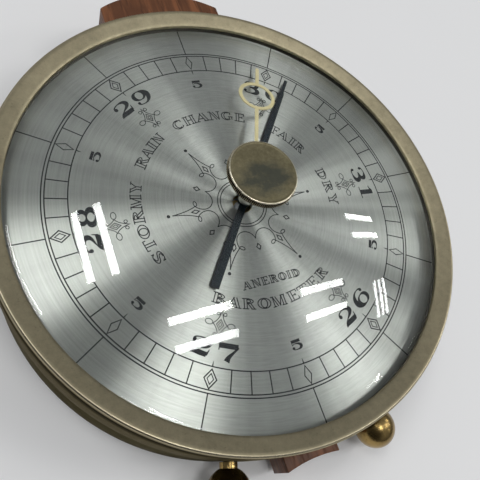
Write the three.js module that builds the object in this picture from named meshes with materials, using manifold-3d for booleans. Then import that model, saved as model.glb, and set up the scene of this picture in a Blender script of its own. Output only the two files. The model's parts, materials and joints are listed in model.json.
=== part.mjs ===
// Aneroid barometer: a round metal case with a domed crystal, a pressure dial with its pointer,
// a set hand turned by a knob through the crystal, two wooden blocks and two brass balls on the rim,
// and a geared aneroid movement inside. Millimetres. The case lies on its back with the dial
// facing +Z and 12 o'clock towards +Y. The origin is the centre of the case's back face.

import * as THREE from 'three';
import { mergeVertices } from 'three/addons/utils/BufferGeometryUtils.js';
import Module from 'manifold-3d';

const wasm = await Module();
wasm.setup();

// ---------------------------------------------------------------- driving dimensions

const GAP = 0.3; // between pieces that touch
const RUN = 0.2; // radial clearance of a pivot or a screw in its hole
const ROUND_BIG = 48; // segments of the case, bezel, dial and crystal
const ROUND = 16; // segments of small round pieces
const DEG = Math.PI / 180;

// case and bezel
const CASE_R = 72.4; // outside of the case wall
const CASE_WALL = 1.0;
const CASE_FLOOR = 1.5;
const CASE_HEIGHT = 27.9; // back face to the top of the rim that carries the dial
const SKIRT_H = 8.8; // how much of the case wall the bezel's skirt covers
const SKIRT_T = 1.0;
const SKIRT_PROUD = 0.6; // the skirt stands this far outside the case wall
const RIM_LEDGE = 5.2; // width of the inturned rim under the dial
const RIM_T = 0.9;
const LIP_HEIGHT = 5.8; // bezel's lip above the dial face
const BEZEL_INNER_HEIGHT = 3.9; // bezel's inner edge above the dial face
const BEZEL_RING_W = 5.3; // lip to inner edge, seen from the front
const BEZEL_EDGE_T = 1.0;

// dial, seat ring and crystal
const DIAL_T = 0.8;
const DIAL_HOLE_R = 3.2;
const SEAT_T = 0.4;
const SEAT_W = 1.7;
const GLASS_T = 1.6;
const GLASS_RISE = 11.9; // dome height over its rim
const GLASS_RIM_W = 2.6;

// hands and knob
const POINTER_ANGLE = 37.5; // clockwise from 12 o'clock
const POINTER_TIP = 53.0;
const POINTER_TAIL = 30.7;
const POINTER_T = 0.5;
const POINTER_LIFT = 2.2; // above the dial face
const SET_ANGLE = 25.1;
const SET_TIP = 51.8;
const SET_RING_AT = 37.7;
const SET_RING_R = 6.35;
const SET_RING_W = 1.25;
const SET_T = 0.35;
const SET_SLOPE = 9; // degrees, down from the hub to the tip
const KNOB_R = 10.4;
const KNOB_T = 2.9;
const STEM_R = 1.5;
const FLANGE_T = 1.3; // bushing's flange, between the crystal and the knob

// wooden blocks and balls
const BLOCK_W = 44.4;
const BLOCK_T = 10.2;
const BLOCK_DROP = 3; // front face of the upper block below the case's rim
const BLOCK_SIDE = 12; // from the case wall to where the sides end and the arch starts
const BLOCK_ARCH_R = 40.6;
const LOW_BLOCK_W = 18;
const LOW_BLOCK_T = 11;
const LOW_BLOCK_TOP = 14;
const LOW_BLOCK_OUT = 7.2; // how far it stands out from the case wall
const LOW_BLOCK_HOLLOW_R = 46.7;
const BALL_R = 6.35;
const BALL_Z = 9.9;
const BALL_ANGLE = 18.8; // either side of 6 o'clock
const BALL_NECK = 1.5; // ball's surface to the case wall

// movement
const BASE_R = 55;
const BASE_AT = [-2, -6];
const BASE_T = 2;
const BASE_SCREWS = [20, 160, 250]; // degrees round the base plate
const BASE_SCREW_PCR = 47;
const MODULE = 0.5;
const PINION_TEETH = 10;
const SECTOR_TEETH = 100; // of the whole wheel the sector is part of
const SECTOR_FIRST = -5;
const SECTOR_LAST = 8;
const PLATE_T = 1.4;
const LOWER_PLATE = 17.0;
const UPPER_PLATE = 23.4;
const FRONT_PILLAR = [16, 0];
const BACK_PILLARS = [10.5, 10]; // behind the sector's axis and either side of it
const PILLAR_R = 2.5;
const GEAR_Z = 19.4;
const GEAR_T = 1.2;
const CAPSULE_AT = [0, -26];
const CAPSULE_R = 20;
const CAPSULE_H = 7;
const LEVER_PIVOT = [0, -50, 14.6];
const LEVER_TIP = 18;
const SHAFT_Y = 24;
const SHAFT_Z = 12;
const SHAFT_R = 1.2;
const SHAFT_PAST = 9.5; // shaft's left end beyond the sector's tail pin
const SHAFT_RIGHT = 8;
const TAIL_R = 5; // sector's tail pin from its axis
const ROD_Z = 21.4;
const HANGER_Y = 56.5; // centre of the keyhole's round end
const KEYHOLE_R = 4;
const KEYHOLE_SLOT = 2;

// ---------------------------------------------------------------- worked-out levels

const DIAL_Z = CASE_HEIGHT + GAP + DIAL_T; // the dial's face
const SKIRT_BOTTOM = CASE_HEIGHT - SKIRT_H;
const BLOCK_TOP = CASE_HEIGHT - BLOCK_DROP;
const BLOCK_SHOULDER = CASE_R + BLOCK_SIDE;
const LOW_BLOCK_END = CASE_R + LOW_BLOCK_OUT;
const CASE_INNER = CASE_R - CASE_WALL;
const FACET = Math.cos(Math.PI / ROUND_BIG); // how far a flat facet lies inside its circle
const STEP_R = CASE_R + SKIRT_PROUD - SKIRT_T - GAP; // case wall inside the skirt
const SKIRT_R = CASE_R + SKIRT_PROUD;
const LIP_R = SKIRT_R - 0.1;
const BORE_R = STEP_R - 1.8; // bezel's inside, round the dial and the glass
const OPENING_R = LIP_R - BEZEL_RING_W;
const GLASS_Z = DIAL_Z + GAP + SEAT_T + GAP; // underside of the crystal's rim
const GLASS_R = BORE_R - 0.5;
const DOME_R = GLASS_R - GLASS_RIM_W;
const GLASS_TOP = GLASS_Z + GLASS_RISE + GLASS_T;
const BUSH_R = STEM_R + RUN + 1.1;
const KNOB_Z = GLASS_TOP + GAP + FLANGE_T + GAP; // knob's underside
const HAND_Z = GLASS_Z + GLASS_RISE - 0.7; // set hand's middle at the axis
const BASE_Z = CASE_FLOOR + GAP;
const BASE_TOP = BASE_Z + BASE_T;
const PINION_R = MODULE * PINION_TEETH / 2;
const SECTOR_R = MODULE * SECTOR_TEETH / 2;
const SECTOR_AT = [-(PINION_R + SECTOR_R), 0];
const TAIL_X = SECTOR_AT[0] - TAIL_R;
const BACK_X = SECTOR_AT[0] - BACK_PILLARS[0];
const PILLARS = [FRONT_PILLAR, [BACK_X, BACK_PILLARS[1]], [BACK_X, -BACK_PILLARS[1]]];
const SHAFT_ENDS = [TAIL_X - SHAFT_PAST, SHAFT_RIGHT];

// ---------------------------------------------------------------- shapes

function bare(geometry) {
  const g = geometry.clone();
  for (const name of Object.keys(g.attributes)) if (name !== 'position') g.deleteAttribute(name);
  return mergeVertices(g, 1e-4);
}

function solid(geometry) {
  const g = bare(geometry);
  const position = g.getAttribute('position').array;
  const index = [];
  const ids = g.index.array;
  for (let i = 0; i < ids.length; i += 3) {
    const [a, b, c] = [ids[i], ids[i + 1], ids[i + 2]];
    if (a !== b && b !== c && a !== c) index.push(a, b, c);
  }
  return new wasm.Manifold(new wasm.Mesh({
    numProp: 3, vertProperties: new Float32Array(position), triVerts: new Uint32Array(index),
  }));
}

function geometryOf(manifold) {
  const mesh = manifold.getMesh();
  const g = new THREE.BufferGeometry();
  g.setAttribute('position', new THREE.BufferAttribute(new Float32Array(mesh.vertProperties), 3));
  g.setIndex(new THREE.BufferAttribute(new Uint32Array(mesh.triVerts), 1));
  g.computeVertexNormals();
  return g;
}

const join = (...pieces) => pieces.reduce((a, b) => a.add(b));
const cut = (piece, ...tools) => tools.reduce((a, b) => a.subtract(b), piece);

// A profile of [radius, height] points turned about the Z axis, the points running anticlockwise.
function turned(points, segments = ROUND) {
  const profile = points.map(([r, z]) => new THREE.Vector2(r, z));
  return solid(new THREE.LatheGeometry(profile, segments).rotateX(Math.PI / 2));
}

// The same for a profile that closes on itself, such as a ring's.
const ring = (points, segments = ROUND) => turned([...points, points[0]], segments);

const disc = (r, z0, z1, segments = ROUND) => turned([[0, z0], [r, z0], [r, z1], [0, z1]], segments);

const tube = (r0, r1, z0, z1, segments = ROUND) =>
  ring([[r0, z0], [r1, z0], [r1, z1], [r0, z1]], segments);

const block = (x0, x1, y0, y1, z0, z1) =>
  solid(new THREE.BoxGeometry(x1 - x0, y1 - y0, z1 - z0)
    .translate((x0 + x1) / 2, (y0 + y1) / 2, (z0 + z1) / 2));

// A flat outline given as [x, y] points, from height z0 to z1.
function slab(points, z0, z1) {
  const shape = new THREE.Shape(points.map(([x, y]) => new THREE.Vector2(x, y)));
  return solid(new THREE.ExtrudeGeometry(shape, { depth: z1 - z0, bevelEnabled: false })
    .translate(0, 0, z0));
}

const arc = (x, y, r, from, to, steps) =>
  Array.from({ length: steps + 1 }, (_, i) => {
    const a = (from + (to - from) * i / steps) * DEG;
    return [x + r * Math.cos(a), y + r * Math.sin(a)];
  });

const polar = (r, degrees, [x, y] = [0, 0]) =>
  [x + r * Math.cos(degrees * DEG), y + r * Math.sin(degrees * DEG)];

const toX = (piece) => piece.rotate([0, 90, 0]); // a piece turned on Z laid along +X
const toY = (piece) => piece.rotate([-90, 0, 0]); // laid along +Y

// ---------------------------------------------------------------- materials and the tree

const MATERIALS = {
  bezel_metal: [0x8d8168, 0.42, 1.0],
  case_metal: [0x857a62, 0.45, 1.0],
  crystal: [0xe8eeec, 0.05, 0.0],
  gasket: [0x2c2a26, 0.8, 0.0],
  dial_silver: [0xa9afa8, 0.35, 1.0],
  pointer_black: [0x16191d, 0.5, 0.2],
  pale_brass: [0xd8c488, 0.35, 0.9],
  knob_metal: [0x8b7f66, 0.45, 1.0],
  brass: [0xb08d4a, 0.35, 1.0],
  ball_brass: [0x7c6230, 0.3, 1.0],
  steel: [0x9a9da0, 0.35, 1.0],
  spring_steel: [0x5c6675, 0.3, 1.0],
  wood: [0x6b3a20, 0.5, 0.0],
};

function materialFor(slot) {
  const [color, roughness, metalness] = MATERIALS[slot];
  const material = new THREE.MeshStandardMaterial({ color, roughness, metalness });
  if (slot === 'crystal') Object.assign(material, { transparent: true, opacity: 0.3 });
  return material;
}

const barometer = new THREE.Group();
const movement = new THREE.Group();
barometer.add(movement);

function place(name, slot, piece, parent = barometer, at = [0, 0, 0], turn = [0, 0, 0]) {
  const mesh = new THREE.Mesh(geometryOf(piece), materialFor(slot));
  mesh.name = name;
  mesh.position.set(...at);
  mesh.rotation.set(...turn.map((a) => a * DEG));
  parent.add(mesh);
  return mesh;
}

// ---------------------------------------------------------------- case, bezel, dial and crystal

const BLOCK_SCREW_X = 12;
const BLOCK_SCREW_DROP = 2.1; // block's screws below the skirt's edge
const BLOCK_SCREW_Z = SKIRT_BOTTOM - BLOCK_SCREW_DROP;
const WOOD_SCREW_R = 1.1;
const LOW_SCREW_Z = 8;
const BALL_SCREW_R = 1.5;
const CSK_R = 3.4;
const CSK_SHANK = 1.5;
const RIVET_X = 9.5;
const HANGER_WINDOW = [7, -4.5, 8.5]; // half width, and bottom and top from the keyhole's centre
const ADJUSTER_Y = -55;
const ADJUSTER_HEAD_R = 3;

const baseScrews = BASE_SCREWS.map((a) => polar(BASE_SCREW_PCR, a, BASE_AT));

// A round hole through the case wall, pointing outwards at an angle from +X.
const wallHole = (r, degrees, z) =>
  toX(disc(r, CASE_R - 12, CASE_R + 4)).rotate([0, 0, degrees]).translate([0, 0, z]);

function caseCup() {
  const cup = turned([
    [0, 0], [CASE_R - 1.2, 0], [CASE_R - 0.35, 0.35], [CASE_R, 1.2],
    [CASE_R, SKIRT_BOTTOM - GAP], [STEP_R, SKIRT_BOTTOM - GAP], [STEP_R, CASE_HEIGHT],
    [STEP_R - RIM_LEDGE, CASE_HEIGHT], [STEP_R - RIM_LEDGE, CASE_HEIGHT - RIM_T],
    [STEP_R - CASE_WALL, CASE_HEIGHT - RIM_T], [STEP_R - CASE_WALL, SKIRT_BOTTOM - 1.6],
    [CASE_INNER, SKIRT_BOTTOM - 2.4], [CASE_INNER, CASE_FLOOR], [0, CASE_FLOOR],
  ], ROUND_BIG);
  const [halfW, low, high] = HANGER_WINDOW;
  const tools = [
    block(-halfW, halfW, HANGER_Y + low, HANGER_Y + high, -1, CASE_FLOOR + 1),
    disc(ADJUSTER_HEAD_R + 0.6, -1, CASE_FLOOR + 1).translate([0, ADJUSTER_Y, 0]),
  ];
  for (const [x, y] of baseScrews) {
    tools.push(turned([[0, -0.5], [CSK_R + RUN + 0.5, -0.5], [CSK_SHANK + RUN, CASE_FLOOR + 0.1],
      [CSK_SHANK + RUN, CASE_FLOOR + 1], [0, CASE_FLOOR + 1]]).translate([x, y, 0]));
  }
  for (const side of [-1, 1]) {
    tools.push(disc(1.4, -1, CASE_FLOOR + 1).translate([side * RIVET_X, HANGER_Y + 1.5, 0]));
    tools.push(toY(disc(WOOD_SCREW_R + RUN, 60, CASE_R + 4))
      .translate([side * BLOCK_SCREW_X, 0, BLOCK_SCREW_Z]));
    tools.push(wallHole(BALL_SCREW_R + RUN, -90 + side * BALL_ANGLE, BALL_Z));
  }
  tools.push(wallHole(WOOD_SCREW_R + RUN, -90, LOW_SCREW_Z));
  return cut(cup, ...tools);
}

function bezelRing() {
  const flange = GLASS_Z + GLASS_T + GAP;
  const inner = DIAL_Z + BEZEL_INNER_HEIGHT;
  const lip = DIAL_Z + LIP_HEIGHT;
  return ring([
    [STEP_R + GAP, SKIRT_BOTTOM], [SKIRT_R, SKIRT_BOTTOM], [SKIRT_R, DIAL_Z - 0.6],
    [SKIRT_R - 0.7, DIAL_Z + 0.2], [SKIRT_R - 0.7, lip - 3.2], [LIP_R, lip - 2.2],
    [LIP_R, lip - 0.6], [LIP_R - 0.45, lip], [LIP_R - 1.2, lip - 0.1],
    [OPENING_R, inner], [OPENING_R, Math.max(inner - BEZEL_EDGE_T, flange)],
    [BORE_R, flange], [BORE_R, CASE_HEIGHT + GAP], [STEP_R + GAP, CASE_HEIGHT + GAP],
  ], ROUND_BIG);
}

// A spherical cap of constant height thickness with a flat rim and a hole for the knob's bushing.
function crystalDome() {
  const sphere = (DOME_R ** 2 + GLASS_RISE ** 2) / (2 * GLASS_RISE);
  const steps = 5;
  const hole = BUSH_R + RUN;
  const rise = (r) => Math.sqrt(sphere ** 2 - r ** 2) - (sphere - GLASS_RISE);
  const radii = Array.from({ length: steps + 1 }, (_, i) => DOME_R + (hole - DOME_R) * i / steps);
  const under = radii.map((r) => [r, GLASS_Z + rise(r)]);
  const over = radii.map((r) => [r, GLASS_Z + GLASS_T + rise(r)]);
  return ring([[GLASS_R, GLASS_Z], [GLASS_R, GLASS_Z + GLASS_T], ...over, ...under.reverse()],
    ROUND_BIG);
}

place('case_cup', 'case_metal', caseCup());
place('bezel_ring', 'bezel_metal', bezelRing());
place('crystal', 'crystal', crystalDome());
place('crystal_seat_ring', 'gasket',
  tube(GLASS_R - SEAT_W, GLASS_R, DIAL_Z + GAP, DIAL_Z + GAP + SEAT_T, ROUND_BIG));
place('dial_plate', 'dial_silver',
  tube(DIAL_HOLE_R, BORE_R - GAP, DIAL_Z - DIAL_T, DIAL_Z, ROUND_BIG));

// ---------------------------------------------------------------- wooden blocks and brass balls

const BLOCK_SEAT = SKIRT_R + GAP; // radius of the hollow that fits round the case

function upperBlock() {
  const half = BLOCK_W / 2;
  const archY = BLOCK_SHOULDER - Math.sqrt(BLOCK_ARCH_R ** 2 - half ** 2);
  const spread = Math.asin(half / BLOCK_ARCH_R) / DEG;
  const outline = [[half, CASE_R * 0.8], ...arc(0, archY, BLOCK_ARCH_R, 90 - spread, 90 + spread, 12),
    [-half, CASE_R * 0.8]];
  const body = slab(outline, BLOCK_TOP - BLOCK_T, BLOCK_TOP);
  const pilot = (x) => toY(disc(WOOD_SCREW_R + RUN, CASE_R - 8, CASE_R + 10.5))
    .translate([x, 0, BLOCK_SCREW_Z]);
  return cut(body, disc(BLOCK_SEAT, -1, BLOCK_TOP + 10, ROUND_BIG),
    pilot(-BLOCK_SCREW_X), pilot(BLOCK_SCREW_X));
}

function lowerBlock() {
  const half = LOW_BLOCK_W / 2;
  const body = block(-half, half, -LOW_BLOCK_END, -CASE_R * 0.9,
    LOW_BLOCK_TOP - LOW_BLOCK_T, LOW_BLOCK_TOP);
  const hollow = disc(LOW_BLOCK_HOLLOW_R, -1, LOW_BLOCK_TOP + 10, ROUND_BIG)
    .translate([0, -SKIRT_R - 3.6 - LOW_BLOCK_HOLLOW_R, 0]);
  const pilot = toY(disc(WOOD_SCREW_R + RUN, CASE_R - 8, CASE_R + 2.6)).rotate([0, 0, 180])
    .translate([0, 0, LOW_SCREW_Z]);
  return cut(body, disc(CASE_R + GAP, -1, LOW_BLOCK_TOP + 10, ROUND_BIG), hollow, pilot);
}

// A screw with a flat round head, along +Z with the head's underside at 0.
const screw = (shank, length, head, headT) =>
  turned([[0, -headT], [head, -headT], [head, 0], [shank, 0], [shank, length], [0, length]], 16);

place('upper_wood_block', 'wood', upperBlock());
place('lower_wood_block', 'wood', lowerBlock());
const blockScrewSeat = Math.sqrt(((STEP_R - CASE_WALL) * FACET) ** 2 - (BLOCK_SCREW_X + 2.2) ** 2) - GAP;
for (const [side, x] of [['left', -BLOCK_SCREW_X], ['right', BLOCK_SCREW_X]]) {
  place(`block_screw_${side}`, 'steel', toY(screw(WOOD_SCREW_R, 11, 2.2, 1.4)), barometer,
    [x, blockScrewSeat, BLOCK_SCREW_Z]);
}
place('lower_block_screw', 'steel', toY(screw(WOOD_SCREW_R, 3.2, 2.2, 1.4)), barometer,
  [0, -(CASE_INNER * FACET - GAP), LOW_SCREW_Z], [0, 0, 180]);

const BALL_AT = CASE_R + BALL_NECK + BALL_R;
const BALL_NECK_R = 2.6;

// A ball on a short neck, turned about Z with its centre at 0 and the neck pointing down,
// bored up the middle for its screw.
function brassBall() {
  const neckAngle = -Math.acos(BALL_NECK_R / BALL_R) / DEG;
  const profile = arc(0, 0, BALL_R, neckAngle, 90, 9).map(([x, y]) => [Math.max(x, 0), y]);
  profile[profile.length - 1][0] = 0;
  const body = turned([[0, -BALL_R - BALL_NECK + GAP], [BALL_NECK_R, -BALL_R - BALL_NECK + GAP],
    ...profile], 20);
  return cut(body, disc(BALL_SCREW_R + RUN, -BALL_R - 3, -1, 16));
}

for (const [side, sign] of [['left', -1], ['right', 1]]) {
  const outward = new THREE.Group();
  outward.rotation.z = (-90 + sign * BALL_ANGLE) * DEG;
  outward.position.z = BALL_Z;
  barometer.add(outward);
  place(`brass_ball_${side}`, 'ball_brass', toX(brassBall()), outward, [BALL_AT, 0, 0]);
  const head = CASE_INNER * FACET - GAP;
  place(`ball_screw_${side}`, 'steel', toX(screw(BALL_SCREW_R, BALL_AT - head - 1.6, 2.6, 1.4)),
    outward, [head, 0, 0]);
}

// ---------------------------------------------------------------- pointer, set hand and knob

const ARBOR_R = 0.9;
const POINTER_HUB_R = 2.2;

function pointerHand() {
  const tipW = 0.6;
  const neckW = 0.95;
  const tailW = 1.3;
  const outline = [
    [-tipW, POINTER_TIP], [-tipW, POINTER_TIP - 5.5], [-neckW, POINTER_TIP - 6.9],
    [-1.2, 0], [-1.2, -15.8], [-tailW, -15.8], [-tailW, -POINTER_TAIL],
    [tailW, -POINTER_TAIL], [tailW, -15.8], [1.2, -15.8], [1.2, 0],
    [neckW, POINTER_TIP - 6.9], [tipW, POINTER_TIP - 5.5], [tipW, POINTER_TIP],
  ];
  const blade = slab(outline.reverse(), 0, POINTER_T);
  const hub = disc(POINTER_HUB_R, -0.8, POINTER_T + 1.0);
  return cut(join(blade, hub), disc(ARBOR_R + RUN, -3, 5));
}

function setHand() {
  const half = SET_RING_W / 2;
  const slope = Math.cos(SET_SLOPE * DEG);
  const at = SET_RING_AT / slope;
  const flat = join(
    block(-half, half, 1.2, at - SET_RING_R + half, -SET_T / 2, SET_T / 2),
    tube(SET_RING_R - SET_RING_W, SET_RING_R, -SET_T / 2, SET_T / 2, 24).translate([0, at, 0]),
    block(-half, half, at + SET_RING_R - half, SET_TIP / slope, -SET_T / 2, SET_T / 2),
  ).rotate([-SET_SLOPE, 0, 0]);
  const hub = disc(STEM_R + RUN + 1.1, -0.9, 0.35);
  return cut(join(flat, hub), disc(STEM_R + RUN, -3, 3));
}

function setKnob() {
  const body = turned([
    [0, 0], [KNOB_R - 1.6, 0], [KNOB_R - 0.3, 0.5], [KNOB_R, 0.9], [KNOB_R, KNOB_T - 0.5],
    [KNOB_R - 0.5, KNOB_T], [0, KNOB_T],
  ], 32);
  return cut(body, disc(STEM_R + RUN, -1, KNOB_T - 1.2));
}

const pointerTurn = [0, 0, -POINTER_ANGLE];
place('pointer', 'pointer_black', pointerHand(), barometer, [0, 0, DIAL_Z + POINTER_LIFT], pointerTurn);

const setter = new THREE.Group();
barometer.add(setter);
const washerZ = HAND_Z - 0.9 - GAP - 0.5;
place('set_hand', 'pale_brass', setHand(), setter, [0, 0, HAND_Z], [0, 0, -SET_ANGLE]);
place('set_knob', 'knob_metal', setKnob(), setter, [0, 0, KNOB_Z]);
place('set_stem', 'brass', disc(STEM_R, washerZ - 0.4, KNOB_Z + KNOB_T - 1.2 - GAP), setter);
place('stem_washer', 'brass', tube(STEM_R + RUN, STEM_R + 1.3, washerZ, washerZ + 0.5), setter);
const bushLow = GLASS_Z + GLASS_RISE + GAP;
place('stem_bushing', 'knob_metal', ring([
  [STEM_R + RUN, bushLow], [BUSH_R, bushLow], [BUSH_R, GLASS_TOP + GAP],
  [BUSH_R + 0.6, GLASS_TOP + GAP], [BUSH_R + 0.6, GLASS_TOP + GAP + FLANGE_T],
  [STEM_R + RUN, GLASS_TOP + GAP + FLANGE_T]]));

// ---------------------------------------------------------------- movement: plates and pillars

// The outline round several equal circles, as their convex hull.
function hullOutline(centres, r, steps = 20) {
  const points = centres.flatMap(([x, y]) => arc(x, y, r, 0, 360, steps).slice(0, -1))
    .sort((a, b) => a[0] - b[0] || a[1] - b[1]);
  const half = (list) => list.reduce((hull, p) => {
    const turnOf = (o, a) => (a[0] - o[0]) * (p[1] - o[1]) - (a[1] - o[1]) * (p[0] - o[0]);
    while (hull.length > 1 && turnOf(hull[hull.length - 2], hull[hull.length - 1]) <= 1e-9) hull.pop();
    return [...hull, p];
  }, []);
  return [...half(points).slice(0, -1), ...half([...points].reverse()).slice(0, -1)];
}

const PIVOT_R = 0.6;
const BRIDGE_SCREW_R = 1.1;
const PLATE_MARGIN = 5;

function bridgePlate(z, arborHole) {
  const plate = slab(hullOutline(PILLARS, PLATE_MARGIN), z, z + PLATE_T);
  const holes = PILLARS.map(([x, y]) => disc(BRIDGE_SCREW_R + RUN, z - 1, z + 3).translate([x, y, 0]));
  return cut(plate, ...holes, disc(arborHole, z - 1, z + 3),
    disc(PIVOT_R + RUN, z - 1, z + 3).translate([...SECTOR_AT, 0]));
}

const CAPSULE_STUD_R = 2;
const basePlate = cut(
  disc(BASE_R, BASE_Z, BASE_TOP, 40).translate([...BASE_AT, 0]),
  ...baseScrews.map(([x, y]) => disc(CSK_SHANK + RUN, 0, 6).translate([x, y, 0])),
  disc(CAPSULE_STUD_R + RUN, 0, 6).translate([...CAPSULE_AT, 0]),
  disc(1.5 + RUN, 0, 6).translate([0, ADJUSTER_Y, 0]),
);
place('base_plate', 'steel', basePlate, movement);
baseScrews.forEach(([x, y], i) => {
  place(`movement_screw_${i + 1}`, 'steel', cut(turned([
    [0, 0.05], [CSK_R, 0.05], [CSK_SHANK, CASE_FLOOR], [CSK_SHANK, BASE_TOP], [0, BASE_TOP]]),
  block(-CSK_R - 1, CSK_R + 1, -0.4, 0.4, -1, 0.7)), movement, [x, y, 0], [0, 0, 25 * i]);
});
place('lower_bridge_plate', 'brass', bridgePlate(LOWER_PLATE, PIVOT_R + RUN), movement);
place('upper_bridge_plate', 'brass', bridgePlate(UPPER_PLATE, ARBOR_R + RUN), movement);
PILLARS.forEach(([x, y], i) => {
  const pillar = turned([[0, BASE_TOP + GAP], [PILLAR_R + 0.8, BASE_TOP + GAP],
    [PILLAR_R + 0.8, BASE_TOP + 1.6], [PILLAR_R, BASE_TOP + 2.4], [PILLAR_R, LOWER_PLATE - GAP],
    [0, LOWER_PLATE - GAP]]);
  place(`pillar_${i + 1}`, 'brass',
    cut(pillar, disc(BRIDGE_SCREW_R + RUN, LOWER_PLATE - 5, LOWER_PLATE + 1, 16)), movement, [x, y, 0]);
  place(`bridge_spacer_${i + 1}`, 'brass', tube(BRIDGE_SCREW_R + RUN, PILLAR_R,
    LOWER_PLATE + PLATE_T + GAP, UPPER_PLATE - GAP, 20), movement, [x, y, 0]);
  const seat = UPPER_PLATE + PLATE_T + GAP;
  place(`bridge_screw_${i + 1}`, 'steel', cut(turned([
    [0, LOWER_PLATE - 4.4], [BRIDGE_SCREW_R, LOWER_PLATE - 4.4], [BRIDGE_SCREW_R, seat], [2.2, seat],
    [2.2, seat + 1.2], [0, seat + 1.2]], 20), block(-3, 3, -0.3, 0.3, seat + 0.6, seat + 3)),
  movement, [x, y, 0], [0, 0, 40 * i]);
});

// ---------------------------------------------------------------- movement: gears and arbor

// Half the angle a tooth takes at radius r: involute flanks, straight below the base circle.
function toothHalfAngle(teeth, r, backlash) {
  const pitchR = MODULE * teeth / 2;
  const pressure = 20 * DEG;
  const involute = (a) => Math.tan(a) - a;
  const baseR = pitchR * Math.cos(pressure);
  const at = Math.acos(Math.min(1, baseR / Math.max(r, baseR)));
  return Math.PI / (2 * teeth) - backlash / pitchR + involute(pressure) - involute(at);
}

// Toothed rim as [x, y] points, anticlockwise, for teeth centred at (k + phase) pitches.
function toothedRim(teeth, first, last, phase, rootR, tipR, backlash) {
  const pitch = 2 * Math.PI / teeth;
  const points = [];
  const radii = [0, 0.35, 0.7, 1].map((t) => rootR + (tipR - rootR) * t);
  for (let k = first; k <= last; k += 1) {
    const centre = (k + phase) * pitch;
    const flank = (r, side) => {
      const a = centre + side * toothHalfAngle(teeth, r, backlash);
      return [r * Math.cos(a), r * Math.sin(a)];
    };
    for (const r of radii) points.push(flank(r, -1));
    for (const r of [...radii].reverse()) points.push(flank(r, 1));
  }
  return points;
}

const BACKLASH = 0.05;
const PINION_ADDENDUM = 0.45;
const SECTOR_ADDENDUM = 0.25;
const TOOTH_CLEAR = 0.15;
const pinionRoot = PINION_R - SECTOR_ADDENDUM - TOOTH_CLEAR;
const sectorRoot = SECTOR_R - PINION_ADDENDUM - TOOTH_CLEAR;

// The arbor, from its lower pivot through both plates and the dial, with the pinion on it.
function arbor() {
  const gearLow = GEAR_Z - GAP;
  const body = turned([
    [0, LOWER_PLATE - 0.4], [PIVOT_R, LOWER_PLATE - 0.4], [PIVOT_R, LOWER_PLATE + PLATE_T + GAP],
    [1.4, LOWER_PLATE + PLATE_T + GAP], [1.4, UPPER_PLATE - GAP], [ARBOR_R, UPPER_PLATE - GAP],
    [ARBOR_R, UPPER_PLATE + PLATE_T + 0.8], [1.8, UPPER_PLATE + PLATE_T + 0.8],
    [1.8, UPPER_PLATE + PLATE_T + 1.8], [ARBOR_R, UPPER_PLATE + PLATE_T + 1.8],
    [ARBOR_R, DIAL_Z + POINTER_LIFT + POINTER_T + 1.2], [0, DIAL_Z + POINTER_LIFT + POINTER_T + 1.2],
  ]);
  // a tooth points at the sector, so the phase puts one at 180 degrees
  const teeth = slab(toothedRim(PINION_TEETH, 0, PINION_TEETH - 1, 0, pinionRoot,
    PINION_R + PINION_ADDENDUM, BACKLASH), gearLow, GEAR_Z + GEAR_T + GAP);
  return join(body, teeth);
}

function sectorGear() {
  const webR = SECTOR_R - 3.6;
  const pitch = 360 / SECTOR_TEETH;
  const from = (SECTOR_FIRST + 0.5) * pitch - 1.8;
  const to = (SECTOR_LAST + 0.5) * pitch + 1.8;
  const rim = slab([...toothedRim(SECTOR_TEETH, SECTOR_FIRST, SECTOR_LAST, 0.5, sectorRoot,
    SECTOR_R + SECTOR_ADDENDUM, BACKLASH), polar(sectorRoot, to), ...arc(0, 0, webR, to, from, 16),
  polar(sectorRoot, from)], 0, GEAR_T);
  const arm = (degrees) => block(0, webR + 0.4, -1.3, 1.3, 0, GEAR_T).rotate([0, 0, degrees]);
  const hub = turned([
    [0, LOWER_PLATE - 0.4 - GEAR_Z], [PIVOT_R, LOWER_PLATE - 0.4 - GEAR_Z],
    [PIVOT_R, LOWER_PLATE + PLATE_T + GAP - GEAR_Z], [3, LOWER_PLATE + PLATE_T + GAP - GEAR_Z],
    [3, GEAR_T], [1.2, GEAR_T], [1.2, UPPER_PLATE - GAP - GEAR_Z], [PIVOT_R, UPPER_PLATE - GAP - GEAR_Z],
    [PIVOT_R, UPPER_PLATE + PLATE_T + 0.3 - GEAR_Z], [0, UPPER_PLATE + PLATE_T + 0.3 - GEAR_Z]]);
  const tail = block(-TAIL_R - 1.4, 0, -1.4, 1.4, 0, GEAR_T);
  const pin = disc(0.7, 0, ROD_Z + 0.9 - GEAR_Z, 12).translate([-TAIL_R, 0, 0]);
  return join(rim, arm(from + 6), arm(to - 6), hub, tail, pin);
}

// A flat spiral, from the collet out to its stud, with its outer end straight.
function hairspring(turns, r0, r1, thick, height) {
  const steps = turns * 14;
  const side = (off) => Array.from({ length: steps + 1 }, (_, i) => {
    const a = 2 * Math.PI * turns * i / steps;
    const r = r0 + (r1 - r0) * i / steps + off;
    return [r * Math.cos(a), r * Math.sin(a)];
  });
  return slab([...side(thick / 2), ...side(-thick / 2).reverse()], 0, height);
}

const SPRING_R = 9;
const SPRING_Z = UPPER_PLATE + PLATE_T + 0.9;
place('arbor', 'steel', arbor(), movement);
place('sector_gear', 'brass', sectorGear(), movement, [...SECTOR_AT, GEAR_Z]);
place('hairspring', 'spring_steel', hairspring(4, 2.6, SPRING_R, 0.25, 0.8), movement, [0, 0, SPRING_Z]);
place('hairspring_stud', 'brass', block(SPRING_R + 0.45, SPRING_R + 2.6, -1.2, 1.2,
  UPPER_PLATE + PLATE_T + GAP, SPRING_Z + 0.9), movement);

// ---------------------------------------------------------------- movement: capsule and levers

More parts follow.
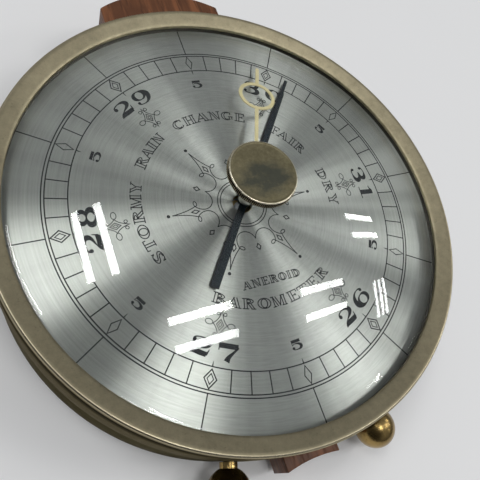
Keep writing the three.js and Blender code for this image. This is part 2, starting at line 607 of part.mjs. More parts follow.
// Two corrugated discs closed at the rim, on a stud that enters the base plate.
function capsule() {
  const low = BASE_TOP + GAP;
  const high = low + CAPSULE_H;
  const waves = 3;
  const wave = (t) => 0.45 * Math.cos(2 * Math.PI * waves * t);
  const steps = waves * 2;
  const face = (z, sign) => Array.from({ length: steps + 1 }, (_, i) => {
    const t = i / steps;
    return [4 + (CAPSULE_R - 5) * t, z + sign * (wave(t) - 0.45)];
  });
  return turned([
    [0, BASE_Z + 0.1], [CAPSULE_STUD_R, BASE_Z + 0.1], [CAPSULE_STUD_R, low],
    ...face(low, -1), [CAPSULE_R, low + 2.4], [CAPSULE_R, high - 2.4], ...face(high, 1).reverse(),
    [0, high]], 28);
}

function capsulePost() {
  const low = BASE_TOP + GAP + CAPSULE_H + 0.4;
  return turned([[0, low], [3.2, low], [3.2, low + 0.8], [1.6, low + 1.2],
    [1.6, LEVER_PIVOT[2] - 0.6 - GAP], [0, LEVER_PIVOT[2] - 0.6 - GAP]], 20);
}

const EAR_X = 5;
const EAR_T = 2;

function springBracket() {
  const [, y, z] = LEVER_PIVOT;
  const low = BASE_TOP + GAP;
  const half = EAR_X + EAR_T;
  const ear = (x) => block(x, x + EAR_T, y - 2, y + 2, low, z + 2);
  return cut(join(block(-half, half, ADJUSTER_Y - 4, y + 4, low, low + 1.5), ear(EAR_X),
    ear(-half)), toX(disc(PIVOT_R + RUN, -half - 1, half + 1, 16)).translate([0, y, z]));
}

function mainLever() {
  const [, y, z] = LEVER_PIVOT;
  const t = 0.6;
  const hub = toX(disc(1.6, -EAR_X + GAP, EAR_X - GAP, 20)).translate([0, y, z]);
  const leaf = block(-4, 4, y, CAPSULE_AT[1] + 5, z - t, z + t);
  const arm = block(-2, 2, CAPSULE_AT[1] + 4, LEVER_TIP + 2, z - t, z + t);
  const link = disc(0.45, SHAFT_Z - 1.8, z, 12).translate([0, LEVER_TIP, 0]);
  return cut(join(hub, leaf, arm, link),
    toX(disc(PIVOT_R + RUN, -EAR_X, EAR_X, 16)).translate([0, y, z]));
}

const ROD_PIN_R = 0.5;

// The cross shaft: a short arm towards the lever and a long arm up to the link rod.
function rockingShaft() {
  const [x0, x1] = SHAFT_ENDS;
  const body = toX(turned([[0, x0 - 1.6], [PIVOT_R, x0 - 1.6], [PIVOT_R, x0 + GAP], [SHAFT_R, x0 + GAP],
    [SHAFT_R, x1 - GAP], [PIVOT_R, x1 - GAP], [PIVOT_R, x1 + 1.6], [0, x1 + 1.6]], 16));
  const rise = ROD_Z - SHAFT_Z;
  const tall = block(TAIL_X - 0.6, TAIL_X + 0.6, -1.2, 1.2, 0, rise + 1.2);
  const pin = toX(disc(ROD_PIN_R, TAIL_X, TAIL_X + 2.4, 12)).translate([0, 0, rise]);
  const reach = LEVER_TIP - SHAFT_Y;
  const short = block(-2, 2, reach - 2.4, 0.6, -0.6, 0.6);
  const eye = disc(1.1, -3, 3, 16).translate([0, reach, 0]);
  return cut(join(body, tall, pin, short), eye);
}

// The rod stands upright at one end, where the shaft's pin enters it, and flat at the other.
function linkRod() {
  const x = TAIL_X + 1.4;
  const upright = toX(disc(2, x - 0.5, x + 0.5, 20)).translate([0, SHAFT_Y, ROD_Z]);
  const flat = disc(2.5, ROD_Z - 0.4, ROD_Z + 0.4, 20).translate([TAIL_X, 0, 0]);
  const bar = slab([[x - 0.5, SHAFT_Y - 1.4], [TAIL_X - 0.5, 1.6], [TAIL_X + 0.5, 1.6],
    [x + 0.5, SHAFT_Y - 1.4]], ROD_Z - 0.4, ROD_Z + 0.4);
  return cut(join(upright, flat, bar),
    toX(disc(1.1, x - 2, x + 2, 16)).translate([0, SHAFT_Y, ROD_Z]),
    disc(1.5, ROD_Z - 2, ROD_Z + 2, 16).translate([TAIL_X, 0, 0]));
}

const shaftBearing = (x) => cut(
  join(block(x, x + 2.5, -2.2, 2.2, BASE_TOP + GAP, SHAFT_Z + 2.2),
    block(x - 1.5, x + 4, -2.2, 2.2, BASE_TOP + GAP, BASE_TOP + 1.6)),
  toX(disc(PIVOT_R + RUN, x - 1, x + 4, 16)).translate([0, 0, SHAFT_Z]));

place('capsule', 'brass', capsule(), movement, [...CAPSULE_AT, 0]);
place('capsule_post', 'brass', capsulePost(), movement, [...CAPSULE_AT, 0]);
place('spring_bracket', 'steel', springBracket(), movement);
place('lever_pivot_pin', 'steel', toX(disc(PIVOT_R, -EAR_X - EAR_T - 0.5, EAR_X + EAR_T + 0.5, 16)),
  movement, LEVER_PIVOT);
place('main_lever', 'spring_steel', mainLever(), movement);
place('rocking_shaft', 'steel', rockingShaft(), movement, [0, SHAFT_Y, SHAFT_Z]);
place('link_rod', 'steel', linkRod(), movement);
place('shaft_bearing_left', 'brass', shaftBearing(SHAFT_ENDS[0] - 2.5), movement, [0, SHAFT_Y, 0]);
place('shaft_bearing_right', 'brass', shaftBearing(SHAFT_ENDS[1]), movement, [0, SHAFT_Y, 0]);

// ---------------------------------------------------------------- back: adjuster and hanger

// A slotted screw flush in the back, its tip under the spring bracket's foot.
place('adjusting_screw', 'brass', cut(
  turned([[0, 0.4], [ADJUSTER_HEAD_R, 0.4], [ADJUSTER_HEAD_R, CASE_FLOOR - 0.1], [1.5, CASE_FLOOR - 0.1],
    [1.5, BASE_TOP], [0, BASE_TOP]]), block(-4, 4, -0.4, 0.4, -1, 0.9)), barometer, [0, ADJUSTER_Y, 0]);

function hangerPlate() {
  const z0 = CASE_FLOOR + GAP;
  const plate = block(-12, 12, -6.7, 12, z0, z0 + 1.2);
  const slot = block(-KEYHOLE_SLOT, KEYHOLE_SLOT, 0, 6, 0, 5);
  const rivet = (x) => disc(1.4, 0, 5, 16).translate([x, 1.5, 0]);
  return cut(plate, disc(KEYHOLE_R, 0, 5), slot, disc(KEYHOLE_SLOT, 0, 5).translate([0, 6, 0]),
    rivet(-RIVET_X), rivet(RIVET_X));
}

place('hanger_plate', 'steel', hangerPlate(), barometer, [0, HANGER_Y, 0]);
for (const [side, x] of [['left', -RIVET_X], ['right', RIVET_X]]) {
  const top = CASE_FLOOR + GAP + 1.2;
  place(`hanger_rivet_${side}`, 'steel', turned([[0, 0.05], [1.2, 0.05], [1.2, top + GAP],
    [2.1, top + GAP], [1.6, top + 1.1], [0, top + 1.3]], 16), barometer, [x, HANGER_Y + 1.5, 0]);
}

export default barometer;
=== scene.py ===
"""Aneroid barometer: the visible pieces, their finishes and the stage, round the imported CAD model.

Shapes are worked out in millimetres, with the case's back face at height 0, the dial facing +Z
and 12 o'clock towards +Y. Dial angles are in degrees clockwise from 12 o'clock.
"""

import json
import math

import bmesh
import bpy
import numpy as np
from mathutils import Euler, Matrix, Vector


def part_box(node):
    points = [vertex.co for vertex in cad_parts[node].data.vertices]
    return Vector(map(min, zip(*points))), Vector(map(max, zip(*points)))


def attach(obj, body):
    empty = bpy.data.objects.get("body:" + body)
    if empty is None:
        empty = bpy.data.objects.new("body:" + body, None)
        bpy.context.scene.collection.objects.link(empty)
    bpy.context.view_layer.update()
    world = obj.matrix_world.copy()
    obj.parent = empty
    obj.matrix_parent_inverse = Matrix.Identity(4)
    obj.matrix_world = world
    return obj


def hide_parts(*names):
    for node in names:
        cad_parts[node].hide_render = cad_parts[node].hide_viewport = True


bl_info = {
    "name": "Aneroid Barometer",
    "version": (1, 0, 0),
    "blender": (4, 5, 0),
    "location": "View3D > Sidebar > Barometer",
    "description": "Builds the visible pieces of a round wall barometer round its CAD frame",
    "category": "Object",
}

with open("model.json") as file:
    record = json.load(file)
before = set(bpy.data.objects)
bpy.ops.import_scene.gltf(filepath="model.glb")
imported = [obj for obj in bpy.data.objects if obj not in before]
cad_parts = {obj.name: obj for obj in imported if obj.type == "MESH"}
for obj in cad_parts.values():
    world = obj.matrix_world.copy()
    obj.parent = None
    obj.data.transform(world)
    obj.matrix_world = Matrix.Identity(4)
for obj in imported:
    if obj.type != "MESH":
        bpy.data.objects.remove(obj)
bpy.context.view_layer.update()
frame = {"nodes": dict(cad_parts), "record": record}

MM = 0.001


def top_of(node):
    """Highest point of a CAD node, in millimetres."""
    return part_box(node)[1].z / MM


def low_of(node):
    """Lowest point of a CAD node, in millimetres."""
    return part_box(node)[0].z / MM


def radius_of(node):
    """Half the width of a round CAD node across X, in millimetres."""
    low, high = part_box(node)
    return (high.x - low.x) / 2 / MM


DIAL_TOP = top_of("dial_plate")
SKIRT_R = radius_of("bezel_ring")
CASE_R = radius_of("case_cup")
KNOB_R = radius_of("set_knob")
KNOB_LOW, KNOB_TOP = low_of("set_knob"), top_of("set_knob")
SCALE_R = 58.0  # outer ring of the printed scale
POINTER_ANGLE = 37.5
POINTER_LOW, POINTER_THICK = DIAL_TOP + 2.2, 0.5
SET_ANGLE = 25.1

# ---------------------------------------------------------------- surfaces


def grid_quads(rows, columns, wrap_rows=True, wrap_columns=True):
    """Quads of a grid of points numbered row by row, joined end to end in the wrapped directions."""
    i = np.arange(rows if wrap_rows else rows - 1)[:, None]
    j = np.arange(columns if wrap_columns else columns - 1)[None, :]
    below, beside = (i + 1) % rows, (j + 1) % columns
    quads = [i * columns + j, i * columns + beside, below * columns + beside, below * columns + j]
    return np.stack(quads, -1).reshape(-1, 4).tolist()


def rounded(corners, steps=5):
    """A closed outline from rows of x, y and reach: each corner is the quadratic curve that
    leaves and joins its two sides at that reach, with the corner as its middle handle."""
    rows = np.array(corners, float)
    points, reach = rows[:, :2], rows[:, 2:3]
    back, on = np.roll(points, 1, 0) - points, np.roll(points, -1, 0) - points
    start = points + back / np.linalg.norm(back, axis=1, keepdims=True) * reach
    end = points + on / np.linalg.norm(on, axis=1, keepdims=True) * reach
    t = np.linspace(0, 1, steps)[None, :, None]
    curve = (1 - t) ** 2 * start[:, None] + 2 * t * (1 - t) * points[:, None] + t**2 * end[:, None]
    return curve.reshape(-1, 2)


def washer(inner, outer, low, high, edge, steps=4):
    """The outline of a flat ring's section, its four corners rounded."""
    return rounded([(inner, low, edge), (outer, low, edge), (outer, high, edge), (inner, high, edge)], steps)


def turned(profile, segments=192, teeth=0, depth=None):
    """A profile of radius and height turned about Z: point (i, j) is at angle 2 pi i / segments,
    at radius j less depth j times half of 1 plus the cosine of teeth times that angle. The profile
    closes on itself."""
    radius, height = np.array(profile, float).T
    angle = (2 * np.pi * np.arange(segments) / segments)[:, None]
    r = np.broadcast_to(radius, (segments, len(radius)))
    if teeth:
        r = r - np.array(depth) * (0.5 + 0.5 * np.cos(teeth * angle))
    points = np.stack([r * np.cos(angle), r * np.sin(angle), np.broadcast_to(height, r.shape)], -1)
    return points.reshape(-1, 3), grid_quads(segments, len(radius))


def cylinder(radius, low, high, at=(0, 0), segments=48):
    """A closed cylinder along Z, its side a circle at two heights with a flat polygon on each."""
    angle = 2 * np.pi * np.arange(segments) / segments
    outline = np.stack([radius * np.cos(angle) + at[0], radius * np.sin(angle) + at[1]], 1)
    return slab(outline, low, high)


def slab(outline, low, high):
    """A flat outline of x, y points carried straight up from one height to another."""
    outline = np.array(outline, float)
    n = len(outline)
    points = np.concatenate([np.column_stack([outline, np.full(n, z)]) for z in (low, high)])
    faces = grid_quads(2, n, wrap_rows=False)
    return points, faces + [list(range(n))[::-1], list(range(n, 2 * n))]


def box(x0, x1, y0, y1, low, high):
    """A box from its limits."""
    return slab([[x0, y0], [x1, y0], [x1, y1], [x0, y1]], low, high)


def circle_arc(radius, start, stop, steps, at=(0, 0)):
    """Points of a circle from one angle to another, in degrees anticlockwise from +X."""
    a = np.radians(np.linspace(start, stop, steps))
    return np.stack([at[0] + radius * np.cos(a), at[1] + radius * np.sin(a)], 1)


def moved(shape, turn=(0, 0, 0), at=(0, 0, 0)):
    """A shape turned by Euler angles in degrees, about X, then Y, then Z, and then shifted."""
    points, faces = shape
    matrix = np.array(Euler([math.radians(a) for a in turn]).to_matrix())
    return points @ matrix.T + np.array(at, float), faces


def facing(shape, direction, at=(0, 0, 0)):
    """A shape made along +Z laid along a direction instead, and then shifted."""
    points, faces = shape
    matrix = np.array(Vector(direction).to_track_quat("Z", "Y").to_matrix())
    return points @ matrix.T + np.array(at, float), faces


def joined(shapes):
    """Several shapes as one list of points and faces."""
    points, faces, count = [], [], 0
    for shape_points, shape_faces in shapes:
        points.append(shape_points)
        faces += [[k + count for k in face] for face in shape_faces]
        count += len(shape_points)
    return np.concatenate(points), faces


def object_from(name, shape, weld=True):
    """A mesh object in metres from a shape in millimetres, its faces turned outwards and, where it is
    welded, its doubles merged."""
    points, faces = shape
    mesh = bpy.data.meshes.new(name)
    mesh.from_pydata((points * MM).tolist(), [], faces)
    work = bmesh.new()
    work.from_mesh(mesh)
    if weld:
        bmesh.ops.remove_doubles(work, verts=work.verts, dist=1e-7)
        bmesh.ops.dissolve_degenerate(work, edges=work.edges, dist=1e-8)
    bmesh.ops.recalc_face_normals(work, faces=work.faces)
    work.to_mesh(mesh)
    work.free()
    piece = bpy.data.objects.new(name, mesh)
    bpy.context.scene.collection.objects.link(piece)
    return piece


def settle(piece):
    """Makes a piece's modifiers part of its mesh."""
    graph = bpy.context.evaluated_depsgraph_get()
    mesh = bpy.data.meshes.new_from_object(piece.evaluated_get(graph))
    piece.modifiers.clear()
    piece.data = mesh


def bevelled(piece, width, segments=3, angle=40):
    """Rounds a piece's sharp edges by a width in millimetres."""
    bevel = piece.modifiers.new("edges", "BEVEL")
    bevel.width, bevel.segments, bevel.limit_method = width * MM, segments, "ANGLE"
    bevel.angle_limit = math.radians(angle)
    settle(piece)


def combined(piece, shapes, how="DIFFERENCE"):
    """Cuts shapes out of a piece, or with how as UNION adds them to it."""
    for index, shape in enumerate([joined(shapes)] if how == "DIFFERENCE" else shapes):
        tool = object_from(f"tool_{index}", shape)
        change = piece.modifiers.new("tool", "BOOLEAN")
        change.operation, change.solver, change.object = how, "EXACT", tool
        settle(piece)
        bpy.data.objects.remove(tool)


def finished(piece, material, body, replaces=(), smooth=32):
    """Shades a piece, gives it its material, ties it to its CAD body and hides the CAD nodes it stands for."""
    mesh = piece.data
    mesh.name = piece.name
    if smooth:
        mesh.shade_smooth()
        mesh.set_sharp_from_angle(angle=math.radians(smooth))
    mesh.materials.clear()
    mesh.materials.append(material)
    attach(piece, body)
    if replaces:
        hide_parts(*replaces)
    return piece


def fine(node, shape, finish, slot, body="case", smooth=32):
    """The fine piece that stands for one CAD node."""
    return finished(object_from(f"{node}_fine", shape), FINISHES[finish], body, [node], smooth)


# ---------------------------------------------------------------- printed strokes


def through(nodes, steps=6):
    """A smooth curve through rows of x, y and width, by the Catmull-Rom formula on each span."""
    rows = np.array(nodes, float)
    rows = np.vstack([2 * rows[0] - rows[1], rows, 2 * rows[-1] - rows[-2]])
    a, b, c, d = (rows[k : len(rows) - 3 + k][:, None] for k in range(4))
    t = np.linspace(0, 1, steps, endpoint=False)[None, :, None]
    curve = 0.5 * (2 * b + (c - a) * t + (2 * a - 5 * b + 4 * c - d) * t**2 + (3 * b - a - 3 * c + d) * t**3)
    return np.vstack([curve.reshape(-1, 3), rows[-2]])


def blob(x, y, r):
    """A round dot as a stroke: at x shifted by r cos a, its width is 2 r sin a."""
    a = np.linspace(np.pi, 0, 13)
    return np.column_stack([x + r * np.cos(a), np.full(13, y), 2 * r * np.sin(a) + 0.002])


def bow(x, y, a, b, right, left, thin=0.05, start=0, stop=360):
    """Part of an ellipse as a stroke that swells at its sides: its width is thin plus the rest
    of right or left times the size of the cosine, raised to 1.6."""
    phi = np.radians(np.linspace(start, stop, 33))
    side = np.where(np.cos(phi) > 0, right, left)
    width = thin + (side - thin) * np.abs(np.cos(phi)) ** 1.6
    return np.column_stack([x + a * np.cos(phi), y + b * np.sin(phi), width])


def bar(x0, y0, x1, y1, width, end_width=None):
    """A straight stroke."""
    return np.array([[x0, y0, width], [x1, y1, width if end_width is None else end_width]], float)


def upside_down(strokes, width):
    """Strokes turned half a turn in a box of this width and height 1."""
    return [np.column_stack([width - s[:, 0], 1 - s[:, 1], s[:, 2]]) for s in strokes]


NINE = [
    bow(0.50, 0.665, 0.375, 0.305, 0.20, 0.27, 0.06),
    through([(0.55, 0.97, 0.06), (0.88, 0.88, 0.18), (1.07, 0.62, 0.34), (1.00, 0.30, 0.27),
             (0.74, 0.07, 0.12), (0.44, 0.03, 0.06), (0.22, 0.08, 0.09), (0.12, 0.18, 0.10)]),
    blob(0.17, 0.19, 0.10),
]
DIGITS = {
    "0": (1.24, [bow(0.62, 0.5, 0.43, 0.465, 0.36, 0.36, 0.06)]),
    "1": (0.96, [bar(0.50, 0, 0.50, 0.99, 0.34), bar(0.10, 0.03, 0.94, 0.03, 0.06),
                 through([(0.40, 0.94, 0.12), (0.26, 0.83, 0.08), (0.08, 0.80, 0.05)])]),
    "2": (1.26, [blob(0.19, 0.74, 0.12),
                 through([(0.11, 0.72, 0.08), (0.20, 0.90, 0.08), (0.55, 0.975, 0.07), (0.88, 0.90, 0.20),
                          (1.01, 0.72, 0.33), (0.88, 0.53, 0.20), (0.52, 0.38, 0.08), (0.22, 0.24, 0.06),
                          (0.07, 0.03, 0.06)]),
                 through([(0.10, 0.09, 0.12), (0.34, 0.17, 0.29), (0.66, 0.15, 0.30), (1.02, 0.14, 0.28)]),
                 bar(1.02, 0.10, 1.13, 0.46, 0.12, 0.04)]),
    "3": (1.16, [blob(0.18, 0.80, 0.10),
                 through([(0.10, 0.80, 0.06), (0.22, 0.93, 0.07), (0.52, 0.975, 0.07), (0.80, 0.88, 0.22),
                          (0.89, 0.73, 0.31), (0.78, 0.58, 0.20), (0.42, 0.53, 0.05)]),
                 through([(0.42, 0.53, 0.05), (0.80, 0.47, 0.20), (0.96, 0.26, 0.34), (0.84, 0.09, 0.24),
                          (0.52, 0.03, 0.08), (0.24, 0.06, 0.08), (0.10, 0.17, 0.08)]),
                 blob(0.17, 0.19, 0.10)]),
    "5": (1.16, [bar(0.14, 0.83, 1.00, 0.86, 0.30), bar(0.16, 0.98, 0.16, 0.46, 0.07),
                 through([(0.16, 0.48, 0.06), (0.42, 0.60, 0.08), (0.80, 0.53, 0.22), (0.98, 0.31, 0.34),
                          (0.82, 0.08, 0.20), (0.50, 0.03, 0.08), (0.24, 0.06, 0.10), (0.12, 0.20, 0.12)]),
                 blob(0.20, 0.20, 0.13)]),
    "6": (1.24, upside_down(NINE, 1.24)),
    "7": (1.22, [bar(0.06, 0.85, 1.12, 0.85, 0.30), bar(0.05, 0.99, 0.03, 0.58, 0.06),
                 through([(1.14, 0.84, 0.10), (0.86, 0.52, 0.14), (0.62, 0.24, 0.24), (0.52, 0.0, 0.34)])]),
    "8": (1.26, [bow(0.63, 0.745, 0.36, 0.225, 0.28, 0.28, 0.06),
                 bow(0.63, 0.265, 0.445, 0.235, 0.36, 0.36, 0.06)]),
    "9": (1.24, NINE),
}

LINE = 0.100  # an open letter's line, as a share of its height


def pen(*points):
    """An even line through points, in a letter's own box of height 1."""
    return np.column_stack([np.array(points, float), np.full(len(points), LINE)])


def curve_line(x, y, a, b, start, stop, steps=19):
    """An even line along part of an ellipse."""
    phi = np.radians(np.linspace(start, stop, steps))
    return np.column_stack([x + a * np.cos(phi), y + b * np.sin(phi), np.full(steps, LINE)])


STEM = 0.13  # half the width of an open stem


def stem(x, low=0.0, high=1.0, foot=0.30, head=0.30):
    """An open upright: two lines, with a serif along its foot and its head."""
    lines = [pen((x - STEM, low), (x - STEM, high)), pen((x + STEM, low), (x + STEM, high))]
    if foot:
        lines.append(pen((x - foot, low), (x + foot, low)))
    if head:
        lines.append(pen((x - head, high), (x + head, high)))
    return lines


def open_slope(x0, x1, low=0.0, high=1.0):
    """An open diagonal: two parallel lines from the foot x0 to the head x1."""
    return [pen((x0 - STEM, low), (x1 - STEM, high)), pen((x0 + STEM, low), (x1 + STEM, high))]


def serif(x, y, half=0.2):
    """A short line across the end of a stroke."""
    return pen((x - half, y), (x + half, y))


BOWL_X = 0.30 + STEM  # where a bowl leaves its stem


def open_bowl(y, half, out):
    """An open bowl to the right of a stem at 0.3: an outer and an inner half ellipse."""
    reaches = ((out, half), (out - 0.24, half - 0.1))
    return [curve_line(BOWL_X, y, a, b, 90, -90) for a, b in reaches]


ROUND_C = [curve_line(0.58, 0.5, 0.52, 0.5, 48, 312), curve_line(0.58, 0.5, 0.27, 0.42, 56, 304),
           pen((0.93, 0.98), (0.93, 0.68))]
LETTERS = {
    "A": (1.22, [pen((0.16, 0), (0.60, 1)), *open_slope(0.98, 0.66), pen((0.28, 0.32), (0.78, 0.32)),
                 serif(0.16, 0), serif(0.99, 0, 0.27)]),
    "B": (1.12, [*stem(0.30), *open_bowl(0.76, 0.24, 0.55), *open_bowl(0.27, 0.27, 0.64)]),
    "C": (1.10, [*ROUND_C, pen((0.93, 0.10), (0.93, 0.28))]),
    "D": (1.16, [*stem(0.30), *open_bowl(0.5, 0.5, 0.68)]),
    "E": (1.04, [*stem(0.30), pen((0.30, 1), (0.92, 1), (0.92, 0.74)), pen((0.43, 0.52), (0.74, 0.52)),
                 pen((0.74, 0.64), (0.74, 0.40)), pen((0.30, 0), (0.96, 0), (0.96, 0.28))]),
    "F": (1.02, [*stem(0.30), pen((0.30, 1), (0.92, 1), (0.92, 0.74)), pen((0.43, 0.52), (0.74, 0.52)),
                 pen((0.74, 0.64), (0.74, 0.40))]),
    "G": (1.20, [*ROUND_C, *stem(0.96, 0.08, 0.42, 0, 0.24)]),
    "H": (1.34, [*stem(0.30), *stem(1.02), pen((0.43, 0.5), (0.89, 0.5))]),
    "I": (0.62, [*stem(0.31)]),
    "M": (1.56, [pen((0.22, 0), (0.22, 1)), serif(0.22, 0), serif(0.16, 1, 0.16), *open_slope(0.70, 0.36),
                 pen((0.76, 0), (1.14, 1)), *stem(1.27, foot=0.28, head=0.25)]),
    "N": (1.28, [pen((0.22, 0), (0.22, 1)), serif(0.22, 0), serif(0.14, 1, 0.16), *open_slope(0.94, 0.36),
                 pen((1.07, 0), (1.07, 1)), serif(1.07, 1)]),
    "O": (1.16, [curve_line(0.58, 0.5, 0.54, 0.5, 0, 360, 37),
                 curve_line(0.58, 0.5, 0.27, 0.43, 0, 360, 31)]),
    "R": (1.20, [*stem(0.30), *open_bowl(0.76, 0.24, 0.58), *open_slope(1.00, 0.66, 0, 0.5),
                 serif(1.02, 0, 0.22)]),
    "S": (0.98, [np.column_stack([c[:, :2], np.full(len(c), LINE)]) for c in (
        through([(0.86, 0.74, 0), (0.74, 0.93, 0), (0.47, 1.0, 0), (0.20, 0.92, 0), (0.10, 0.72, 0),
                 (0.26, 0.52, 0), (0.56, 0.38, 0), (0.68, 0.23, 0), (0.58, 0.10, 0), (0.40, 0.07, 0)], 3),
        through([(0.58, 0.93, 0), (0.40, 0.90, 0), (0.32, 0.77, 0), (0.44, 0.62, 0), (0.74, 0.47, 0),
                 (0.90, 0.27, 0), (0.78, 0.07, 0), (0.49, 0.0, 0), (0.22, 0.07, 0), (0.10, 0.28, 0)], 3))]
        + [pen((0.88, 0.98), (0.88, 0.70)), pen((0.10, 0.02), (0.10, 0.32))]),
    "T": (1.14, [*stem(0.57, head=0), pen((0.06, 0.72), (0.08, 1), (1.06, 1), (1.08, 0.72))]),
    "Y": (1.20, [*open_slope(0.60, 0.24, 0.46, 1), pen((0.70, 0.46), (1.02, 1)), *stem(0.62, 0, 0.46, head=0),
                 serif(0.24, 1, 0.25), serif(1.02, 1, 0.17)]),
}


def on_dial(stroke, angle, radius, size, outwards):
    """A stroke from a glyph's box to the dial: x runs clockwise and y outwards where the glyph's top
    points to the rim, and both the other way where it points to the centre."""
    a = math.radians(angle)
    out, along = np.array([math.sin(a), math.cos(a)]), np.array([math.cos(a), -math.sin(a)])
    sign = 1 if outwards else -1
    x, y, width = stroke.T
    place = out * (radius + sign * size * y[:, None]) + along * (sign * size * x[:, None])
    return np.column_stack([place, width * size])


def glyph(table, character, start, stop, low, high, outwards):
    """A character's strokes, fitted between two angles and two radii of the dial."""
    width, strokes = table[character]
    size = high - low
    middle = (start + stop) / 2
    stretch = abs(stop - start) * math.pi / 180 * (low + high) / 2 / (width * size)
    radius = low if outwards else high
    return [
        on_dial(np.column_stack([(s[:, 0] - width / 2) * stretch, s[:, 1:]]), middle, radius, size, outwards)
        for s in strokes
    ]


def ring_stroke(radius, width, steps=288):
    """A whole circle as a stroke."""
    a = np.linspace(0, 2 * np.pi, steps + 1)
    return np.column_stack([radius * np.sin(a), radius * np.cos(a), np.full(steps + 1, width)])


def inked(strokes, low, high):
    """Strokes as a raised print: each path is carried with a flat section of its own width, its
    edges set off along the mitre of its two neighbours, from the low height to the high one."""
    shapes = []
    for stroke in strokes:
        path, half = stroke[:, :2], stroke[:, 2:] / 2
        closed = np.allclose(path[0], path[-1]) and len(path) > 3
        if closed:
            path, half = path[:-1], half[:-1]
        step = (np.roll(path, -1, 0) - path) if closed else np.diff(path, axis=0)
        step = step / np.maximum(np.linalg.norm(step, axis=1, keepdims=True), 1e-9)
        before = np.roll(step, 1, 0) if closed else np.vstack([step[:1], step])
        after = step if closed else np.vstack([step, step[-1:]])
        normal_in, normal_out = before[:, ::-1] * [-1, 1], after[:, ::-1] * [-1, 1]
        mitre = (normal_in + normal_out) / np.maximum(1 + (normal_in * normal_out).sum(1, keepdims=True), 0.4)
        left, right = path + mitre * half, path - mitre * half
        n = len(path)
        section = [(left, high), (right, high), (right, low), (left, low)]
        points = np.stack([np.column_stack([edge, np.full(n, z)]) for edge, z in section], 1).reshape(-1, 3)
        faces = grid_quads(n, 4, wrap_rows=closed)
        if not closed:
            faces += [[0, 1, 2, 3], [4 * n - 1, 4 * n - 2, 4 * n - 3, 4 * n - 4]]
        shapes.append((points, faces))
    return joined(shapes)


# ---------------------------------------------------------------- nodes and finishes


def add(tree, kind, inputs=None, **settings):
    """A node with its settings, its inputs given as constants or as the sockets that feed them."""
    made = tree.nodes.new(kind)
    for name, value in settings.items():
        setattr(made, name, value)
    for name, value in (inputs or {}).items():
        socket = made.inputs[name]
        if isinstance(value, bpy.types.NodeSocket):
            tree.links.new(value, socket)
        else:
            socket.default_value = value
    return made


def maths(tree, operation, *values):
    """A Math node's result."""
    return add(tree, "ShaderNodeMath", dict(enumerate(values)), operation=operation).outputs[0]


def times(tree, first, second):
    """Two values multiplied."""
    return maths(tree, "MULTIPLY", first, second)


def shared(tree, first, second, share):
    """A share of one value and the rest of another, added."""
    return maths(tree, "ADD", times(tree, first, share), times(tree, second, 1 - share))


def span(tree, value, low, high, to_low=0.0, to_high=1.0):
    """A value's range mapped on to another, and held inside it."""
    inputs = {"Value": value, "From Min": low, "From Max": high, "To Min": to_low, "To Max": to_high}
    return add(tree, "ShaderNodeMapRange", inputs).outputs[0]


def between(tree, value, low, high):
    """0 to 1 as a value in metres goes from one limit to the other, both in millimetres."""
    return span(tree, value, low * MM, high * MM)


def vector_maths(tree, operation, vector, by=None):
    """A Vector Math node, on one vector or with a constant."""
    return add(tree, "ShaderNodeVectorMath", {0: vector} if by is None else {0: vector, 1: by}, operation=operation)


def flattened(tree, vector):
    """A vector without its Z."""
    return vector_maths(tree, "MULTIPLY", vector, (1, 1, 0)).outputs[0]


def whereabouts(tree):
    """The place on a piece, its height, and its distance from the Z axis, all in metres."""
    place = add(tree, "ShaderNodeTexCoord").outputs["Object"]
    height = add(tree, "ShaderNodeSeparateXYZ", {0: place}).outputs["Z"]
    return place, height, vector_maths(tree, "LENGTH", flattened(tree, place)).outputs["Value"]


def shade(colour, share):
    """A colour made darker or lighter by a share."""
    return [min(1.0, c * share) for c in colour]


def blend_colour(tree, factor, first, second):
    """Two colours mixed by a factor."""
    made = add(tree, "ShaderNodeMix", data_type="RGBA")
    for socket, value in ((made.inputs[0], factor), (made.inputs[6], first), (made.inputs[7], second)):
        if isinstance(value, bpy.types.NodeSocket):
            tree.links.new(value, socket)
        elif isinstance(value, (int, float)):
            socket.default_value = value
        else:
            socket.default_value = (*value, 1)
    return made.outputs[2]


def layer(tree, colour, mask, amount, over):
    """A colour with another laid over it where a mask is 1, by an amount."""
    return blend_colour(tree, times(tree, mask, amount), colour, over)


def noise(tree, vector, scale, detail, roughness):
    """Noise in the range 0 to 1."""
    inputs = {"Vector": vector, "Scale": scale, "Detail": detail, "Roughness": roughness}
    return add(tree, "ShaderNodeTexNoise", inputs).outputs["Fac"]


def effect(name, inputs, outputs, build):
    """A shader node group with named float inputs and outputs; build fills it and returns its results."""
    tree = bpy.data.node_groups.new(name, "ShaderNodeTree")
    for label, default in inputs.items():
        socket = tree.interface.new_socket(label, in_out="INPUT", socket_type="NodeSocketFloat")
        socket.default_value = default
    for label in outputs:
        tree.interface.new_socket(label, in_out="OUTPUT", socket_type="NodeSocketFloat")
    start, end = tree.nodes.new("NodeGroupInput"), tree.nodes.new("NodeGroupOutput")
    for label, value in zip(outputs, build(tree, start.outputs)):
        tree.links.new(value, end.inputs[label])
    return tree


